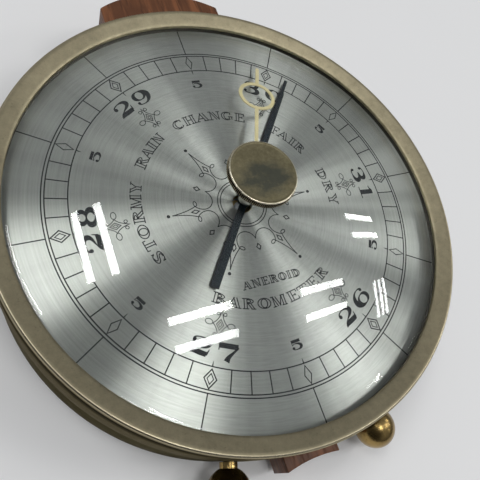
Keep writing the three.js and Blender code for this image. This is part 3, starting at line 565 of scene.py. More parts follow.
def build_turning(tree, given):
    """Marks of a lathe about the Z axis: noise read at the radius and the height, many lines to the
    millimetre, which drifts slowly round the axis."""
    place = add(tree, "ShaderNodeTexCoord").outputs["Object"]
    x, y, z = add(tree, "ShaderNodeSeparateXYZ", {0: place}).outputs
    radius = maths(tree, "SQRT", maths(tree, "ADD", times(tree, x, x), times(tree, y, y)))
    safe = maths(tree, "MAXIMUM", radius, 1e-5)
    drift = times(tree, maths(tree, "DIVIDE", x, safe), given["Drift"])
    lines = times(tree, given["Lines per mm"], 1000.0)
    across = add(tree, "ShaderNodeCombineXYZ", {
        0: times(tree, radius, lines),
        1: times(tree, z, lines),
        2: drift,
    }).outputs[0]
    fine = noise(tree, across, 1.0, 3.0, 0.6)
    return [span(tree, fine, 0.25, 0.75)]


def build_mottle(tree, given):
    """Cloudy patches of age: two noises of one pattern, the smaller one breaking up the larger."""
    place = add(tree, "ShaderNodeTexCoord").outputs["Object"]
    large = noise(tree, place, given["Scale"], 6.0, 0.62)
    small = noise(tree, place, times(tree, given["Scale"], 5.3), 4.0, 0.6)
    low, high = (maths(tree, how, 0.5, given["Softness"]) for how in ("SUBTRACT", "ADD"))
    return [span(tree, shared(tree, large, small, 0.7), low, high)]


def build_specks(tree, given):
    """Small pits and grains of dirt: noise cut off near its top."""
    place = add(tree, "ShaderNodeTexCoord").outputs["Object"]
    fine = noise(tree, place, given["Scale"], 2.0, 0.5)
    return [span(tree, fine, given["Cut"], maths(tree, "ADD", given["Cut"], 0.06))]


def build_fans(tree, given):
    """Uneven brushing round a disc: noise read at the direction from the centre alone, so that it
    runs out to the rim as narrow rays."""
    place = add(tree, "ShaderNodeTexCoord").outputs["Object"]
    direction = vector_maths(tree, "NORMALIZE", flattened(tree, place)).outputs[0]
    return [span(tree, noise(tree, direction, given["Rays"], 3.0, 0.5), 0.3, 0.7)]


def build_grain(tree, given):
    """Wood grain along Y: noise drawn out tenfold along the grain, its bands sharpened by a sine."""
    place = add(tree, "ShaderNodeTexCoord").outputs["Object"]
    drawn = vector_maths(tree, "MULTIPLY", place, (1.0, 0.09, 1.0)).outputs[0]
    wide = noise(tree, drawn, given["Scale"], 4.0, 0.6)
    bands = maths(tree, "SINE", times(tree, wide, given["Bands"]))
    pores = noise(tree, drawn, times(tree, given["Scale"], 7.0), 2.0, 0.5)
    return [span(tree, bands, -1.0, 1.0), span(tree, pores, 0.56, 0.66)]


EFFECTS = {}


def make_effects():
    """The shared surface effects, each built once."""
    for key, *row in (
        ("turning", "turning_marks", {"Lines per mm": 4.0, "Drift": 0.6}, ["Lines"], build_turning),
        ("mottle", "aged_mottling", {"Scale": 60.0, "Softness": 0.14}, ["Patches"], build_mottle),
        ("specks", "pits_and_dirt", {"Scale": 900.0, "Cut": 0.66}, ["Specks"], build_specks),
        ("fans", "brushed_rays", {"Rays": 9.0}, ["Rays"], build_fans),
        ("grain", "wood_grain", {"Scale": 120.0, "Bands": 22.0}, ["Grain", "Pores"], build_grain),
    ):
        EFFECTS[key] = effect(*row)


def use(tree, name, **inputs):
    """One of the shared effects placed in a material with its own values."""
    made = tree.nodes.new("ShaderNodeGroup")
    made.node_tree = EFFECTS[name]
    for label, value in inputs.items():
        made.inputs[label.replace("_", " ")].default_value = value
    return made.outputs


def new_finish(name, **constants):
    """A material with its Principled shader's own constants set."""
    material = bpy.data.materials.new(name)
    material.use_nodes = True
    tree = material.node_tree
    shader = tree.nodes["Principled BSDF"]
    for label, value in constants.items():
        shader.inputs[label.replace("_", " ")].default_value = value
    return material, tree, shader


def feed(tree, shader, **sockets):
    """Links values to the shader's inputs."""
    for label, value in sockets.items():
        tree.links.new(value, shader.inputs[label.replace("_", " ")])


def bump(tree, height, depth):
    """A normal from a height, its full depth in millimetres."""
    inputs = {"Height": height, "Distance": depth * MM, "Strength": 1.0}
    return add(tree, "ShaderNodeBump", inputs).outputs[0]


def metal(name, pale, dark, rough, marks, patch, dirt, groove=0.004, metallic=1.0, **constants):
    """Turned metal with age: two colours in cloudy patches, lathe marks to the millimetre with the depth
    of their grooves, and small pits filled with dirt."""
    material, tree, shader = new_finish(name, Metallic=metallic, **constants)
    patches = use(tree, "mottle", Scale=patch)["Patches"]
    lines = use(tree, "turning", Lines_per_mm=marks)["Lines"]
    specks = use(tree, "specks")["Specks"]
    colour = blend_colour(tree, patches, dark, pale)
    colour = layer(tree, colour, specks, dirt, shade(dark, 0.35))
    shine = maths(tree, "ADD", span(tree, patches, 0, 1, rough[1], rough[0]), span(tree, lines, 0, 1, -0.04, 0.05))
    feed(tree, shader, Base_Color=colour, Roughness=shine, Normal=bump(tree, lines, groove))
    return material


# ---------------------------------------------------------------- what a user can change


def size_setting(name, description, default, low, high):
    """A size in millimetres that a user can change between two limits."""
    return bpy.props.FloatProperty(name=name, description=description, default=default, min=low, max=high)


def colour_setting(name, description, default):
    """A colour that a user can change."""
    return bpy.props.FloatVectorProperty(name=name, description=description, subtype="COLOR", default=default)


class BarometerSizes(bpy.types.PropertyGroup):
    """Sizes of the visible detail, in millimetres."""

    print_height: size_setting("Print height", "How far the print stands above the dial", 0.02, 0.005, 0.1)
    line_width: size_setting("Scale line", "Width of the scale's lines", 0.34, 0.1, 1.0)
    numeral_low: size_setting("Numerals from", "Radius at the inner side of the numerals", 44.1, 30, 60)
    numeral_high: size_setting("Numerals to", "Radius at the outer side of the numerals", 49.1, 30, 60)
    knob_teeth: bpy.props.IntProperty(
        name="Knob teeth", description="Fine teeth round the set knob", default=120, min=12, max=240
    )
    knob_tooth_depth: size_setting("Tooth depth", "Depth of the knob's teeth", 0.30, 0.0, 0.5)
    block_edge: size_setting("Block edge", "Rounding along the wooden blocks' edges", 0.5, 0.05, 2.0)


class BarometerColours(bpy.types.PropertyGroup):
    """Colours of the finishes."""

    bezel: colour_setting("Bezel", "Plate of the bezel where it is clean", (0.335, 0.295, 0.195))
    case: colour_setting("Case", "Plate of the case where it is clean", (0.078, 0.072, 0.048))
    dial: colour_setting("Dial", "Silvering of the dial", (0.45, 0.458, 0.430))
    ink: colour_setting("Print", "Ink of the scale and words", (0.006, 0.007, 0.008))
    wood: colour_setting("Wood", "Stained wood between its dark bands", (0.20, 0.075, 0.030))
    brass: colour_setting("Pale brass", "Lacquered brass of the set hand", (0.50, 0.43, 0.23))
    ball: colour_setting("Ball brass", "Dark brass of the balls", (0.42, 0.29, 0.11))
    floor: colour_setting("Floor", "The pale floor", (0.88, 0.88, 0.88))


def sizes():
    """The sizes in use."""
    return bpy.context.scene.barometer_sizes


def colour_of(name):
    """A colour in use."""
    return tuple(getattr(bpy.context.scene.barometer_colours, name))


FINISHES = {}


def finish_bezel():
    """Satin nickel-bronze plate, cloudy, with a painted highlight along the rolled lip, painted shade on its side
    under the lip and a darker painted shade in the groove below that.
    """
    pale = colour_of("bezel")
    material, tree, shader = new_finish("bezel_plate", Metallic=1.0, Specular_Tint=(0.62, 0.56, 0.44, 1))
    patches = use(tree, "mottle", Scale=75.0, Softness=0.18)["Patches"]
    small = use(tree, "mottle", Scale=420.0, Softness=0.16)["Patches"]
    lines = use(tree, "turning", Lines_per_mm=5.0, Drift=2.5)["Lines"]
    specks = use(tree, "specks", Scale=1500.0, Cut=0.66)["Specks"]
    _, height, radius = whereabouts(tree)
    # edge: where the painted highlight along the rolled lip goes
    edge = times(tree, between(tree, height, 34.0, 34.5), between(tree, radius, SKIRT_R - 0.95, SKIRT_R - 0.6))
    # side: where painted shade darkens the outer side under the lip
    side = times(tree, between(tree, height, 34.2, 33.4), between(tree, radius, SKIRT_R - 1.1, SKIRT_R - 0.8))
    # groove: where a darker painted shade fills the groove under the lip
    groove = times(tree, between(tree, height, 28.2, 29.0), between(tree, height, 33.8, 32.8))
    groove = times(tree, groove, side)
    aged = shared(tree, patches, small, 0.55)
    colour = blend_colour(tree, aged, shade(pale, 0.62), shade(pale, 1.12))
    # painted shade on the side and in the groove, then a painted highlight on the lip
    colour = layer(tree, colour, side, 0.86, shade(pale, 0.16))
    colour = layer(tree, colour, groove, 0.85, (0.016, 0.013, 0.010))
    colour = layer(tree, colour, edge, 0.55, (0.62, 0.55, 0.40))
    colour = layer(tree, colour, specks, 0.25, (0.06, 0.05, 0.035))
    shine = maths(tree, "ADD", span(tree, aged, 0, 1, 0.50, 0.38), span(tree, lines, 0, 1, -0.05, 0.06))
    shine = maths(tree, "SUBTRACT", shine, times(tree, edge, 0.16))
    feed(tree, shader, Base_Color=colour, Roughness=shine, Normal=bump(tree, lines, 0.006))
    return material


def finish_case():
    """Plate like the bezel's, duller and darker."""
    pale, tint = colour_of("case"), (0.55, 0.50, 0.38, 1)
    return metal("case_plate", pale, shade(pale, 0.6), (0.42, 0.56), 3.0, 55.0, 0.3, Specular_Tint=tint)


def finish_dial():
    """Silvered and brushed round its centre: grooves turn the light into fans, with uneven rays and faint
    tarnish."""
    material, tree, shader = new_finish(
        "dial_silvering", Metallic=1.0, Anisotropic=1.0, Anisotropic_Rotation=0.25
    )
    silver = colour_of("dial")
    lines = use(tree, "turning", Lines_per_mm=1.9, Drift=7.0)["Lines"]
    fine = use(tree, "turning", Lines_per_mm=9.0, Drift=2.0)["Lines"]
    rays = use(tree, "fans", Rays=11.0)["Rays"]
    tarnish = use(tree, "mottle", Scale=26.0, Softness=0.2)["Patches"]
    brushed = shared(tree, lines, fine, 0.6)
    tarnished = [c * share for c, share in zip(silver, (0.86, 0.88, 0.84))]
    colour = blend_colour(tree, tarnish, tarnished, silver)
    colour = layer(tree, colour, brushed, 0.7, shade(silver, 0.42))
    colour = layer(tree, colour, rays, 0.16, shade(silver, 1.5))
    shine = maths(tree, "ADD", span(tree, brushed, 0, 1, 0.31, 0.38), span(tree, rays, 0, 1, -0.02, 0.03))
    feed(tree, shader, Base_Color=colour, Roughness=shine, Normal=bump(tree, brushed, 0.0015))
    feed(tree, shader, Tangent=add(tree, "ShaderNodeTangent", direction_type="RADIAL", axis="Z").outputs[0])
    return material


def finish_ink():
    """Black printing ink, a little thinner in places."""
    material, tree, shader = new_finish("print_ink", Specular_IOR_Level=0.04)
    ink = colour_of("ink")
    thin = use(tree, "mottle", Scale=420.0, Softness=0.2)["Patches"]
    colour = blend_colour(tree, thin, ink, [c + 0.012 for c in ink])
    feed(tree, shader, Base_Color=colour, Roughness=span(tree, thin, 0, 1, 0.5, 0.7))
    return material


def finish_glass():
    """Clear polished glass that lamps shine through."""
    material, tree, shader = new_finish(
        "crystal_glass", Base_Color=(0.97, 0.985, 0.98, 1), Roughness=0.0, Transmission_Weight=1.0, IOR=1.33
    )
    output = tree.nodes["Material Output"]
    clear = add(tree, "ShaderNodeBsdfTransparent", {"Color": (0.96, 0.97, 0.965, 1)})
    shadow = add(tree, "ShaderNodeLightPath").outputs["Is Shadow Ray"]
    mix = add(tree, "ShaderNodeMixShader", {0: shadow, 1: shader.outputs[0], 2: clear.outputs[0]})
    tree.links.new(mix.outputs[0], output.inputs["Surface"])
    return material


def finish_wood():
    """Reddish brown stained hardwood under a worn satin varnish."""
    material, tree, shader = new_finish("stained_wood", Specular_IOR_Level=0.3)
    wood = colour_of("wood")
    grain, pores = use(tree, "grain")
    patches = use(tree, "mottle", Scale=40.0, Softness=0.2)["Patches"]
    colour = blend_colour(tree, grain, shade(wood, 0.42), wood)
    colour = layer(tree, colour, pores, 0.7, shade(wood, 0.18))
    colour = layer(tree, colour, patches, 0.25, shade(wood, 1.7))
    feed(tree, shader, Base_Color=colour, Roughness=span(tree, pores, 0, 1, 0.42, 0.62))
    feed(tree, shader, Normal=bump(tree, maths(tree, "SUBTRACT", grain, pores), 0.05))
    return material


def finish_knob():
    """Nickel-bronze plate with olive handling patina on its face and a dark smear, a painted highlight round its
    edge, and teeth with painted highlights at their crests and painted shade with dirt between them."""
    material, tree, shader = new_finish("knob_plate", Metallic=1.0)
    patches = use(tree, "mottle", Scale=150.0, Softness=0.17)["Patches"]
    small = use(tree, "mottle", Scale=800.0, Softness=0.16)["Patches"]
    lines = use(tree, "turning", Lines_per_mm=4.0)["Lines"]
    place, height, radius = whereabouts(tree)
    # rim: where the painted highlight round the knob's top edge goes
    rim = between(tree, radius, KNOB_R - 0.62, KNOB_R - 0.40)
    rim = times(tree, rim, between(tree, height, KNOB_TOP - 0.42, KNOB_TOP - 0.3))
    toothed = between(tree, height, KNOB_TOP - 0.3, KNOB_TOP - 0.45)
    # dirt: near black between the teeth, painted shade with dirt
    dirt = times(tree, between(tree, radius, KNOB_R - 0.05, KNOB_R - 0.10), toothed)
    # painted highlight on the crests of the teeth
    painted_crest_highlight = times(tree, between(tree, radius, KNOB_R - 0.07, KNOB_R - 0.03), toothed)
    drawn = add(tree, "ShaderNodeMapping", {0: place, 1: (0.0, 0.0025, 0), 3: (0.75, 1.25, 1)}).outputs[0]
    away = vector_maths(tree, "LENGTH", flattened(tree, drawn)).outputs["Value"]
    smear = times(tree, noise(tree, drawn, 190.0, 4.0, 0.7), between(tree, away, 11.5, 3.0))
    smear = span(tree, smear, 0.22, 0.48)
    aged = shared(tree, patches, small, 0.6)
    colour = blend_colour(tree, aged, (0.120, 0.105, 0.060), (0.30, 0.265, 0.160))
    colour = blend_colour(tree, painted_crest_highlight, colour, (0.60, 0.48, 0.33))
    colour = layer(tree, colour, smear, 0.8, (0.066, 0.074, 0.064))
    # painted shade with dirt between the teeth
    colour = blend_colour(tree, dirt, colour, (0.012, 0.008, 0.005))
    # painted highlight round the top edge
    colour = layer(tree, colour, rim, 0.9, (0.80, 0.74, 0.58))
    shine = maths(tree, "ADD", span(tree, aged, 0, 1, 0.52, 0.38), times(tree, rim, -0.18))
    feed(tree, shader, Base_Color=colour, Roughness=shine, Normal=bump(tree, lines, 0.004))
    return material


def finish_pointer():
    """Satin black enamel with a trace of orange peel, and bare grey metal on the hub above the blade."""
    material, tree, shader = new_finish("pointer_enamel", Specular_IOR_Level=0.06)
    patches = use(tree, "mottle", Scale=700.0, Softness=0.2)["Patches"]
    blade_top = POINTER_LOW + POINTER_THICK
    bare = between(tree, whereabouts(tree)[1], blade_top + 0.04, blade_top + 0.10)
    colour = blend_colour(tree, patches, (0.002, 0.004, 0.005), (0.005, 0.009, 0.012))
    colour = blend_colour(tree, bare, colour, (0.50, 0.50, 0.45))
    feed(tree, shader, Base_Color=colour, Roughness=span(tree, patches, 0, 1, 0.38, 0.5))
    feed(tree, shader, Metallic=bare, Normal=bump(tree, patches, 0.004))
    return material


def finish_fibre():
    """Dark pressed fibre, matt and felted."""
    material, tree, shader = new_finish("pressed_fibre")
    felt = use(tree, "mottle", Scale=900.0, Softness=0.2)["Patches"]
    colour = blend_colour(tree, felt, (0.02, 0.018, 0.015), (0.06, 0.055, 0.045))
    feed(tree, shader, Base_Color=colour, Normal=bump(tree, felt, 0.03), Roughness=span(tree, felt, 0, 1, 0.8, 0.95))
    return material


SURFACES = {
    "bezel": finish_bezel, "case": finish_case, "dial": finish_dial, "ink": finish_ink, "glass": finish_glass,
    "wood": finish_wood, "knob": finish_knob, "pointer": finish_pointer, "fibre": finish_fibre,
}
METALS = {  # name, pale and dark colours, roughness of each, lathe marks, patch scale and dirt
    "brass": ("movement_brass", (0.68, 0.50, 0.22), (0.48, 0.34, 0.14), (0.28, 0.40), 5.0, 90.0, 0.3),
    "steel": ("turned_steel", (0.56, 0.57, 0.58), (0.40, 0.41, 0.42), (0.28, 0.42), 5.0, 110.0, 0.4),
    "blued": ("blued_steel", (0.16, 0.22, 0.36), (0.10, 0.13, 0.22), (0.22, 0.34), 5.0, 120.0, 0.2),
    "nickel": ("dull_nickel", (0.50, 0.50, 0.47), (0.30, 0.30, 0.27), (0.26, 0.40), 5.0, 200.0, 0.5),
}


def make_finishes():
    """Every finish, each built once."""
    FINISHES.update({key: build() for key, build in SURFACES.items()})
    FINISHES.update({key: metal(*row) for key, row in METALS.items()})
    brass, ball = colour_of("brass"), colour_of("ball")
    FINISHES["pale_brass"] = metal(
        "pale_brass", brass, shade(brass, 0.85), (0.30, 0.40), 8.0, 200.0, 0.2, 0.002, metallic=0.25
    )
    FINISHES["ball"] = metal("ball_brass", ball, shade(ball, 0.45), (0.16, 0.32), 6.0, 160.0, 0.5, 0.002)


# ---------------------------------------------------------------- case, bezel, glass and dial

WINDOW = (7.0, 52.0, 65.0)  # half width, bottom and top of the hanger's window in the back
KEYHOLE = (0.0, 56.5)
KEYHOLE_R, SLOT_HALF, SLOT_RISE = 4.0, 2.0, 6.0
RIVETS = ((-9.5, 58.0), (9.5, 58.0))
ADJUSTER = (0.0, -55.0)
BASE_SCREWS = [
    (-2 + 47 * math.cos(math.radians(a)), -6 + 47 * math.sin(math.radians(a))) for a in (20, 160, 250)
]
BALL_ANGLE = 18.8  # of each ball from 6 o'clock
BALL_Z = 9.9
CASE_FLOOR = 1.5  # thickness of the back
DIAL_HOLE_R, DIAL_R = 3.2, 69.6


def outwards(angle):
    """The direction of a dial angle in the case's plane."""
    a = math.radians(angle)
    return np.array([math.sin(a), math.cos(a), 0.0])


class BAROMETER_OT_case(bpy.types.Operator):
    """Builds the case cup, with its holes and the window for the hanger"""

    bl_idname = "barometer.case"
    bl_label = "Case"

    def execute(self, context):
        step, ledge = CASE_R - 0.7, CASE_R - 5.9
        profile = rounded([
            (0, 0, 0), (CASE_R, 0, 1.2), (CASE_R, 18.8, 0.2), (step, 18.8, 0.1), (step, 27.9, 0.15),
            (ledge, 27.9, 0.15), (ledge, 27.0, 0.15), (CASE_R - 1.7, 27.0, 0.2), (CASE_R - 1.7, 17.5, 0.2),
            (CASE_R - 1.0, 16.7, 0.2), (CASE_R - 1.0, CASE_FLOOR, 0.3), (0, CASE_FLOOR, 0),
        ])
        cup = object_from("case_cup_fine", turned(profile, 192))
        tools = [
            box(-WINDOW[0], WINDOW[0], WINDOW[1], WINDOW[2], -1, CASE_FLOOR + 1),
            cylinder(3.6, -1, CASE_FLOOR + 1, ADJUSTER),
        ]
        tools += [cylinder(1.4, -1, CASE_FLOOR + 1, at, 32) for at in RIVETS]
        sink = [(0, -0.5), (4.1, -0.5), (4.1, 0.0), (1.7, CASE_FLOOR + 0.1), (1.7, 3), (0, 3)]
        tools += [moved(turned(sink, 48), at=(*at, 0)) for at in BASE_SCREWS]
        hole = cylinder(1.3, CASE_R - 8, CASE_R + 2, segments=24)
        tools += [facing(hole, (0, 1, 0), (x, 0, 17)) for x in (-12, 12)]
        tools.append(facing(hole, (0, -1, 0), (0, 0, 8)))
        wide = cylinder(1.7, CASE_R - 8, CASE_R + 2, segments=24)
        tools += [facing(wide, outwards(180 + side * BALL_ANGLE), (0, 0, BALL_Z)) for side in (-1, 1)]
        combined(cup, tools)
        finished(cup, FINISHES["case"], "case", ["case_cup"])
        return {"FINISHED"}


class BAROMETER_OT_bezel(bpy.types.Operator):
    """Builds the bezel: skirt, groove, rolled lip and the slope in to the glass"""

    bl_idname = "barometer.bezel"
    bl_label = "Bezel"

    def execute(self, context):
        r = SKIRT_R
        profile = rounded([
            (r - 1.0, 19.1, 0.2), (r, 19.1, 0.35), (r, 28.3, 0.5), (r - 0.7, 29.1, 0.4), (r - 0.7, 31.5, 0.5),
            (r - 0.1, 32.3, 0.4), (r - 0.1, 34.3, 0.35), (r - 0.6, 34.8, 0.3), (r - 1.35, 34.7, 0.4),
            (r - 5.0, 33.2, 0.5), (r - 5.4, 32.9, 0.2), (r - 5.4, 31.9, 0.15), (r - 3.1, 31.9, 0.1),
            (r - 3.1, 28.2, 0.2), (r - 1.0, 28.2, 0.2),
        ], 6)
        fine("bezel_ring", turned(profile, 256), "bezel", "bezel_metal")
        return {"FINISHED"}


class BAROMETER_OT_crystal(bpy.types.Operator):
    """Builds the domed crystal and the ring it sits on"""

    bl_idname = "barometer.crystal"
    bl_label = "Crystal"

    def execute(self, context):
        low, rim, edge, hole, rise, thick = low_of("crystal"), 69.4, 66.8, 3.0, 11.9, 1.6
        sphere = (edge**2 + rise**2) / (2 * rise)
        radii = np.linspace(edge, hole, 40)
        dome = np.sqrt(sphere**2 - radii**2) - (sphere - rise) + low
        over = np.column_stack([radii, dome + thick])
        under = np.column_stack([radii, dome])[::-1]
        cut = 0.2
        side = [(rim - cut, low), (rim, low + cut), (rim, low + thick - cut), (rim - cut, low + thick)]
        fine("crystal", turned(np.vstack([side, over, under]), 192), "glass", "crystal", smooth=50)
        seat = low_of("crystal_seat_ring")
        fine("crystal_seat_ring", turned(washer(67.7, rim, seat, seat + 0.4, 0.1, 3), 192), "fibre", "gasket")
        return {"FINISHED"}


class BAROMETER_OT_dial(bpy.types.Operator):
    """Builds the silvered dial plate"""

    bl_idname = "barometer.dial"
    bl_label = "Dial"

    def execute(self, context):
        plate = washer(DIAL_HOLE_R, DIAL_R, low_of("dial_plate"), DIAL_TOP, 0.1, 3)
        fine("dial_plate", turned(plate, 192), "dial", "dial_silver")
        return {"FINISHED"}


# ---------------------------------------------------------------- the printed dial

INCHES = {"29": -30, "30": 30, "31": 90, "26": 150, "27": -150, "28": -90}
HALF_INCHES = (-60, 0, 60, 120, 180, -120)
LONG_LINE_R = 69.0  # where the long radial lines end, under the bezel


def printed(name, strokes):
    """A piece of print on the dial, from just inside its face to just above it."""
    shape = inked(strokes, DIAL_TOP - 0.02, DIAL_TOP + sizes().print_height)
    piece = object_from(name, shape, weld=False)
    return finished(piece, FINISHES["ink"], "case", smooth=0)


def local(points, angle, width=0.26, closed=True):
    """An even line on the dial through points of (along, radius), in millimetres, at a dial angle."""
    rows = np.array(points, float)
    if closed:
        rows = np.vstack([rows, rows[:1]])
    stroke = np.column_stack([rows, np.full(len(rows), width)])
    return on_dial(stroke, angle, 0, 1, True)


def diamond(angle, inner, outer, half, width=0.26):
    """A four-sided figure with its long axis along the radius; half is half its width in degrees."""
    middle = (inner + outer) / 2
    side = middle * math.radians(half)
    return local([(0, inner), (side, middle), (0, outer), (-side, middle)], angle, width)


def hollow_sided(angle, middle, half, reach, pinch=0.3, width=0.24, steps=7):
    """A four-pointed star: each side is the quadratic curve between two points that a handle,
    at the share pinch of both reaches, pulls in towards the middle."""
    across = middle * math.radians(half)
    tips = np.array([(0, reach), (across, 0), (0, -reach), (-across, 0)], float)
    t = np.linspace(0, 1, steps)[:-1, None]
    sides = [
        (1 - t) ** 2 * a + 2 * t * (1 - t) * (a + b) * pinch + t**2 * b
        for a, b in zip(tips, np.roll(tips, -1, 0))
    ]
    return local(np.vstack(sides) + [0, middle], angle, width)


def loop(angle, shift, radius, length, height, lean=0.0, width=0.22):
    """A small oval beside a dial angle: shift and half length in degrees along the dial, leaning."""
    a = np.linspace(0, 2 * np.pi, 19)[:-1]
    x, y = radius * math.radians(length) * np.cos(a), height * np.sin(a)
    c, s = math.cos(math.radians(lean)), math.sin(math.radians(lean))
    return local(np.column_stack([x * c - y * s, radius + x * s + y * c]), angle + shift, width)


class BAROMETER_OT_scale(bpy.types.Operator):
    """Prints the scale: its rings, ticks, long radial lines and diamonds"""

    bl_idname = "barometer.scale"
    bl_label = "Scale"

    def execute(self, context):
        line = sizes().line_width
        inner, outer = 0.88 * SCALE_R, 0.985 * SCALE_R
        strokes = [ring_stroke(r, line) for r in (SCALE_R, outer, inner)]
        for angle in range(0, 360, 6):
            reach = (inner, outer) if angle % 30 else (SCALE_R, LONG_LINE_R)
            strokes.append(local([(0, r) for r in reach], angle, line, closed=False))
        for angle in range(0, 360, 30):
            spike = bar(0, 0.855 * SCALE_R, 0, inner, 0.12, line * 1.2)
            strokes.append(on_dial(spike, angle, 0, 1, True))
        for angle in INCHES.values():
            strokes.append(diamond(angle, 0.892 * SCALE_R, 0.980 * SCALE_R, 1.85, 0.34))
            strokes.append(diamond(angle, 0.912 * SCALE_R, 0.960 * SCALE_R, 0.95, 0.26))
        for angle in HALF_INCHES:
            strokes.append(diamond(angle, 0.892 * SCALE_R, 0.980 * SCALE_R, 1.15, 0.30))
        printed("print_scale", strokes)
        return {"FINISHED"}


NUMERALS = [
    ("2", -39.0, -30.9, 1), ("9", -29.2, -21.5, 1), ("2", -98.2, -90.6, 1), ("8", -88.8, -81.0, 1),
    ("3", 82.8, 90.2, 1), ("1", 91.8, 98.0, 1), ("3", 21.0, 28.8, 1), ("0", 31.0, 39.0, 1),
    ("2", -148.8, -141.2, 0), ("7", -158.4, -150.9, 0), ("2", 151.2, 158.9, 0), ("6", 141.4, 149.3, 0),
]


class BAROMETER_OT_numerals(bpy.types.Operator):
    """Prints the inch numerals and the small fives between them"""

    bl_idname = "barometer.numerals"
    bl_label = "Numerals"

    def execute(self, context):
        low, high = sizes().numeral_low, sizes().numeral_high
        strokes = []
        for digit, start, stop, outward in NUMERALS:
            strokes += glyph(DIGITS, digit, start, stop, low, high, bool(outward))
        for angle in HALF_INCHES:
            outward = abs(angle) < 90
            strokes += glyph(DIGITS, "5", angle - 2.4, angle + 2.4, low, low + 2.9, outward)
        printed("print_numerals", strokes)
        return {"FINISHED"}


WORDS = [
    ("STORMY", [-114, -106.2, -99.6, -91.0, -83.2, -74.2], [-107.4, -99.9, -91.6, -83.4, -74.4, -67.3]),
    ("RAIN", [-58.5, -51.2, -44.4, -39.8], [-51.0, -44.8, -40.2, -33.2]),
    ("CHANGE", [-24, -16.4, -9.0, -0.2, 7.4, 15.8], [-17.0, -8.8, -0.6, 7.0, 14.6, 22.2]),
    ("FAIR", [38.7, 43.8, 51.9, 56.4], [44.4, 51.0, 56.0, 63.0]),
    ("DRY", [76.8, 85.4, 94.0], [84.4, 93.0, 101.4]),
]
TITLE = "BAROMETER"
TITLE_MIDDLES = (-147.0, -155.0, -162.8, -171.2, -179.6, 171.4, 164.4, 156.8, 148.6)
TITLE_WIDTHS = (6.9, 7.6, 7.0, 7.6, 8.6, 6.7, 6.9, 6.7, 7.2)
SMALL_TITLE = "ANEROID"
SMALL_TITLE_AT, SMALL_TITLE_SIZE = (-9.6, -26.6), 2.3


class BAROMETER_OT_words(bpy.types.Operator):
    """Prints the weather words, in open letters round the dial, and the name of the instrument"""

    bl_idname = "barometer.words"
    bl_label = "Words"

    def execute(self, context):
        low, high = 0.535 * SCALE_R, 0.588 * SCALE_R
        strokes = []
        for word, starts, stops in WORDS:
            for letter, start, stop in zip(word, starts, stops):
                strokes += glyph(LETTERS, letter, start, stop, low, high, True)
        for letter, middle, width in zip(TITLE, TITLE_MIDDLES, TITLE_WIDTHS):
            start, stop = middle - width / 2, middle + width / 2
            strokes += glyph(LETTERS, letter, start, stop, low - 0.3, high - 0.4, False)
        (x, y), size, gap, weight = SMALL_TITLE_AT, SMALL_TITLE_SIZE, 0.12, 1.15
        for letter in SMALL_TITLE:
            width, lines = LETTERS[letter]
            strokes += [row * [size, size, size * weight] + [x, y, 0] for row in lines]
            x += (width + gap) * size
        printed("print_words", strokes)
        return {"FINISHED"}


def spear_side():
    """One side of a spear and the scallop beside it, in (along, radius): a quadratic curve from the
    tip in to the widest point, then an arc whose reach from its centre is longer at both ends by the
    fourth power of the distance from its middle."""
    tip, wide, centre = np.array([0, 22.9]), np.array([1.72, 15.2]), np.array([3.26, 12.17])
    t = np.linspace(0, 1, 8)[:, None]
    edge = (1 - t) ** 2 * tip + 2 * t * (1 - t) * [0.42, 18.0] + t**2 * wide
    turn = np.radians(np.linspace(117, 329, 30))
    off = np.linspace(-1, 1, 30)
    reach = 2.95 + np.where(off < 0, 0.5, 0.31) * off**4
    arc = centre + np.stack([reach * np.cos(turn), reach * np.sin(turn)], 1)
    return np.vstack([edge, arc[1:]])


class BAROMETER_OT_ornament(bpy.types.Operator):
    """Prints the stars at the inches and the rosette round the centre"""

    bl_idname = "barometer.ornament"
    bl_label = "Ornament"

    def execute(self, context):
        unit, middle = SCALE_R, 0.68 * SCALE_R
        strokes = [ring_stroke(0.137 * unit, 0.28, 96), ring_stroke(0.122 * unit, 0.28, 96)]
        for angle in INCHES.values():
            strokes.append(hollow_sided(angle, middle, 3.1, 0.072 * unit, 0.24))
            strokes.append(diamond(angle, 0.655 * unit, 0.708 * unit, 1.5, 0.24))
            strokes.append(diamond(angle, 0.668 * unit, 0.694 * unit, 0.7, 0.20))
            for side in (-1, 1):
                strokes.append(loop(angle, side * 4.7, middle, 1.55, 0.75))
                strokes.append(loop(angle, side * 1.5, 0.628 * unit, 0.7, 0.5, side * 40))
                strokes.append(loop(angle, side * 1.4, 0.733 * unit, 0.7, 0.5, -side * 40))
                strokes.append(local(spear_side() * [side, 1], angle, 0.27, closed=False))
                strokes.append(loop(angle, side * 9.6, 0.262 * unit, 3.1, 0.5, side * 14, 0.25))
            strokes.append(on_dial(blob(0, 0.415 * unit, 0.52), angle, 0, 1, True))
            strokes.append(diamond(angle, 0.248 * unit, 0.290 * unit, 2.2, 0.30))
        for angle in HALF_INCHES:
            strokes.append(diamond(angle, 0.238 * unit, 0.272 * unit, 2.7, 0.32))
        printed("print_ornament", strokes)
        return {"FINISHED"}


# ---------------------------------------------------------------- hands and knob


POINTER_HALF = [  # half width and distance from the axis, tip to tail
    (0.58, 53.0), (0.58, 47.6), (0.93, 46.2), (1.15, 0), (1.15, -15.8), (1.28, -15.8), (1.28, -30.7),
]


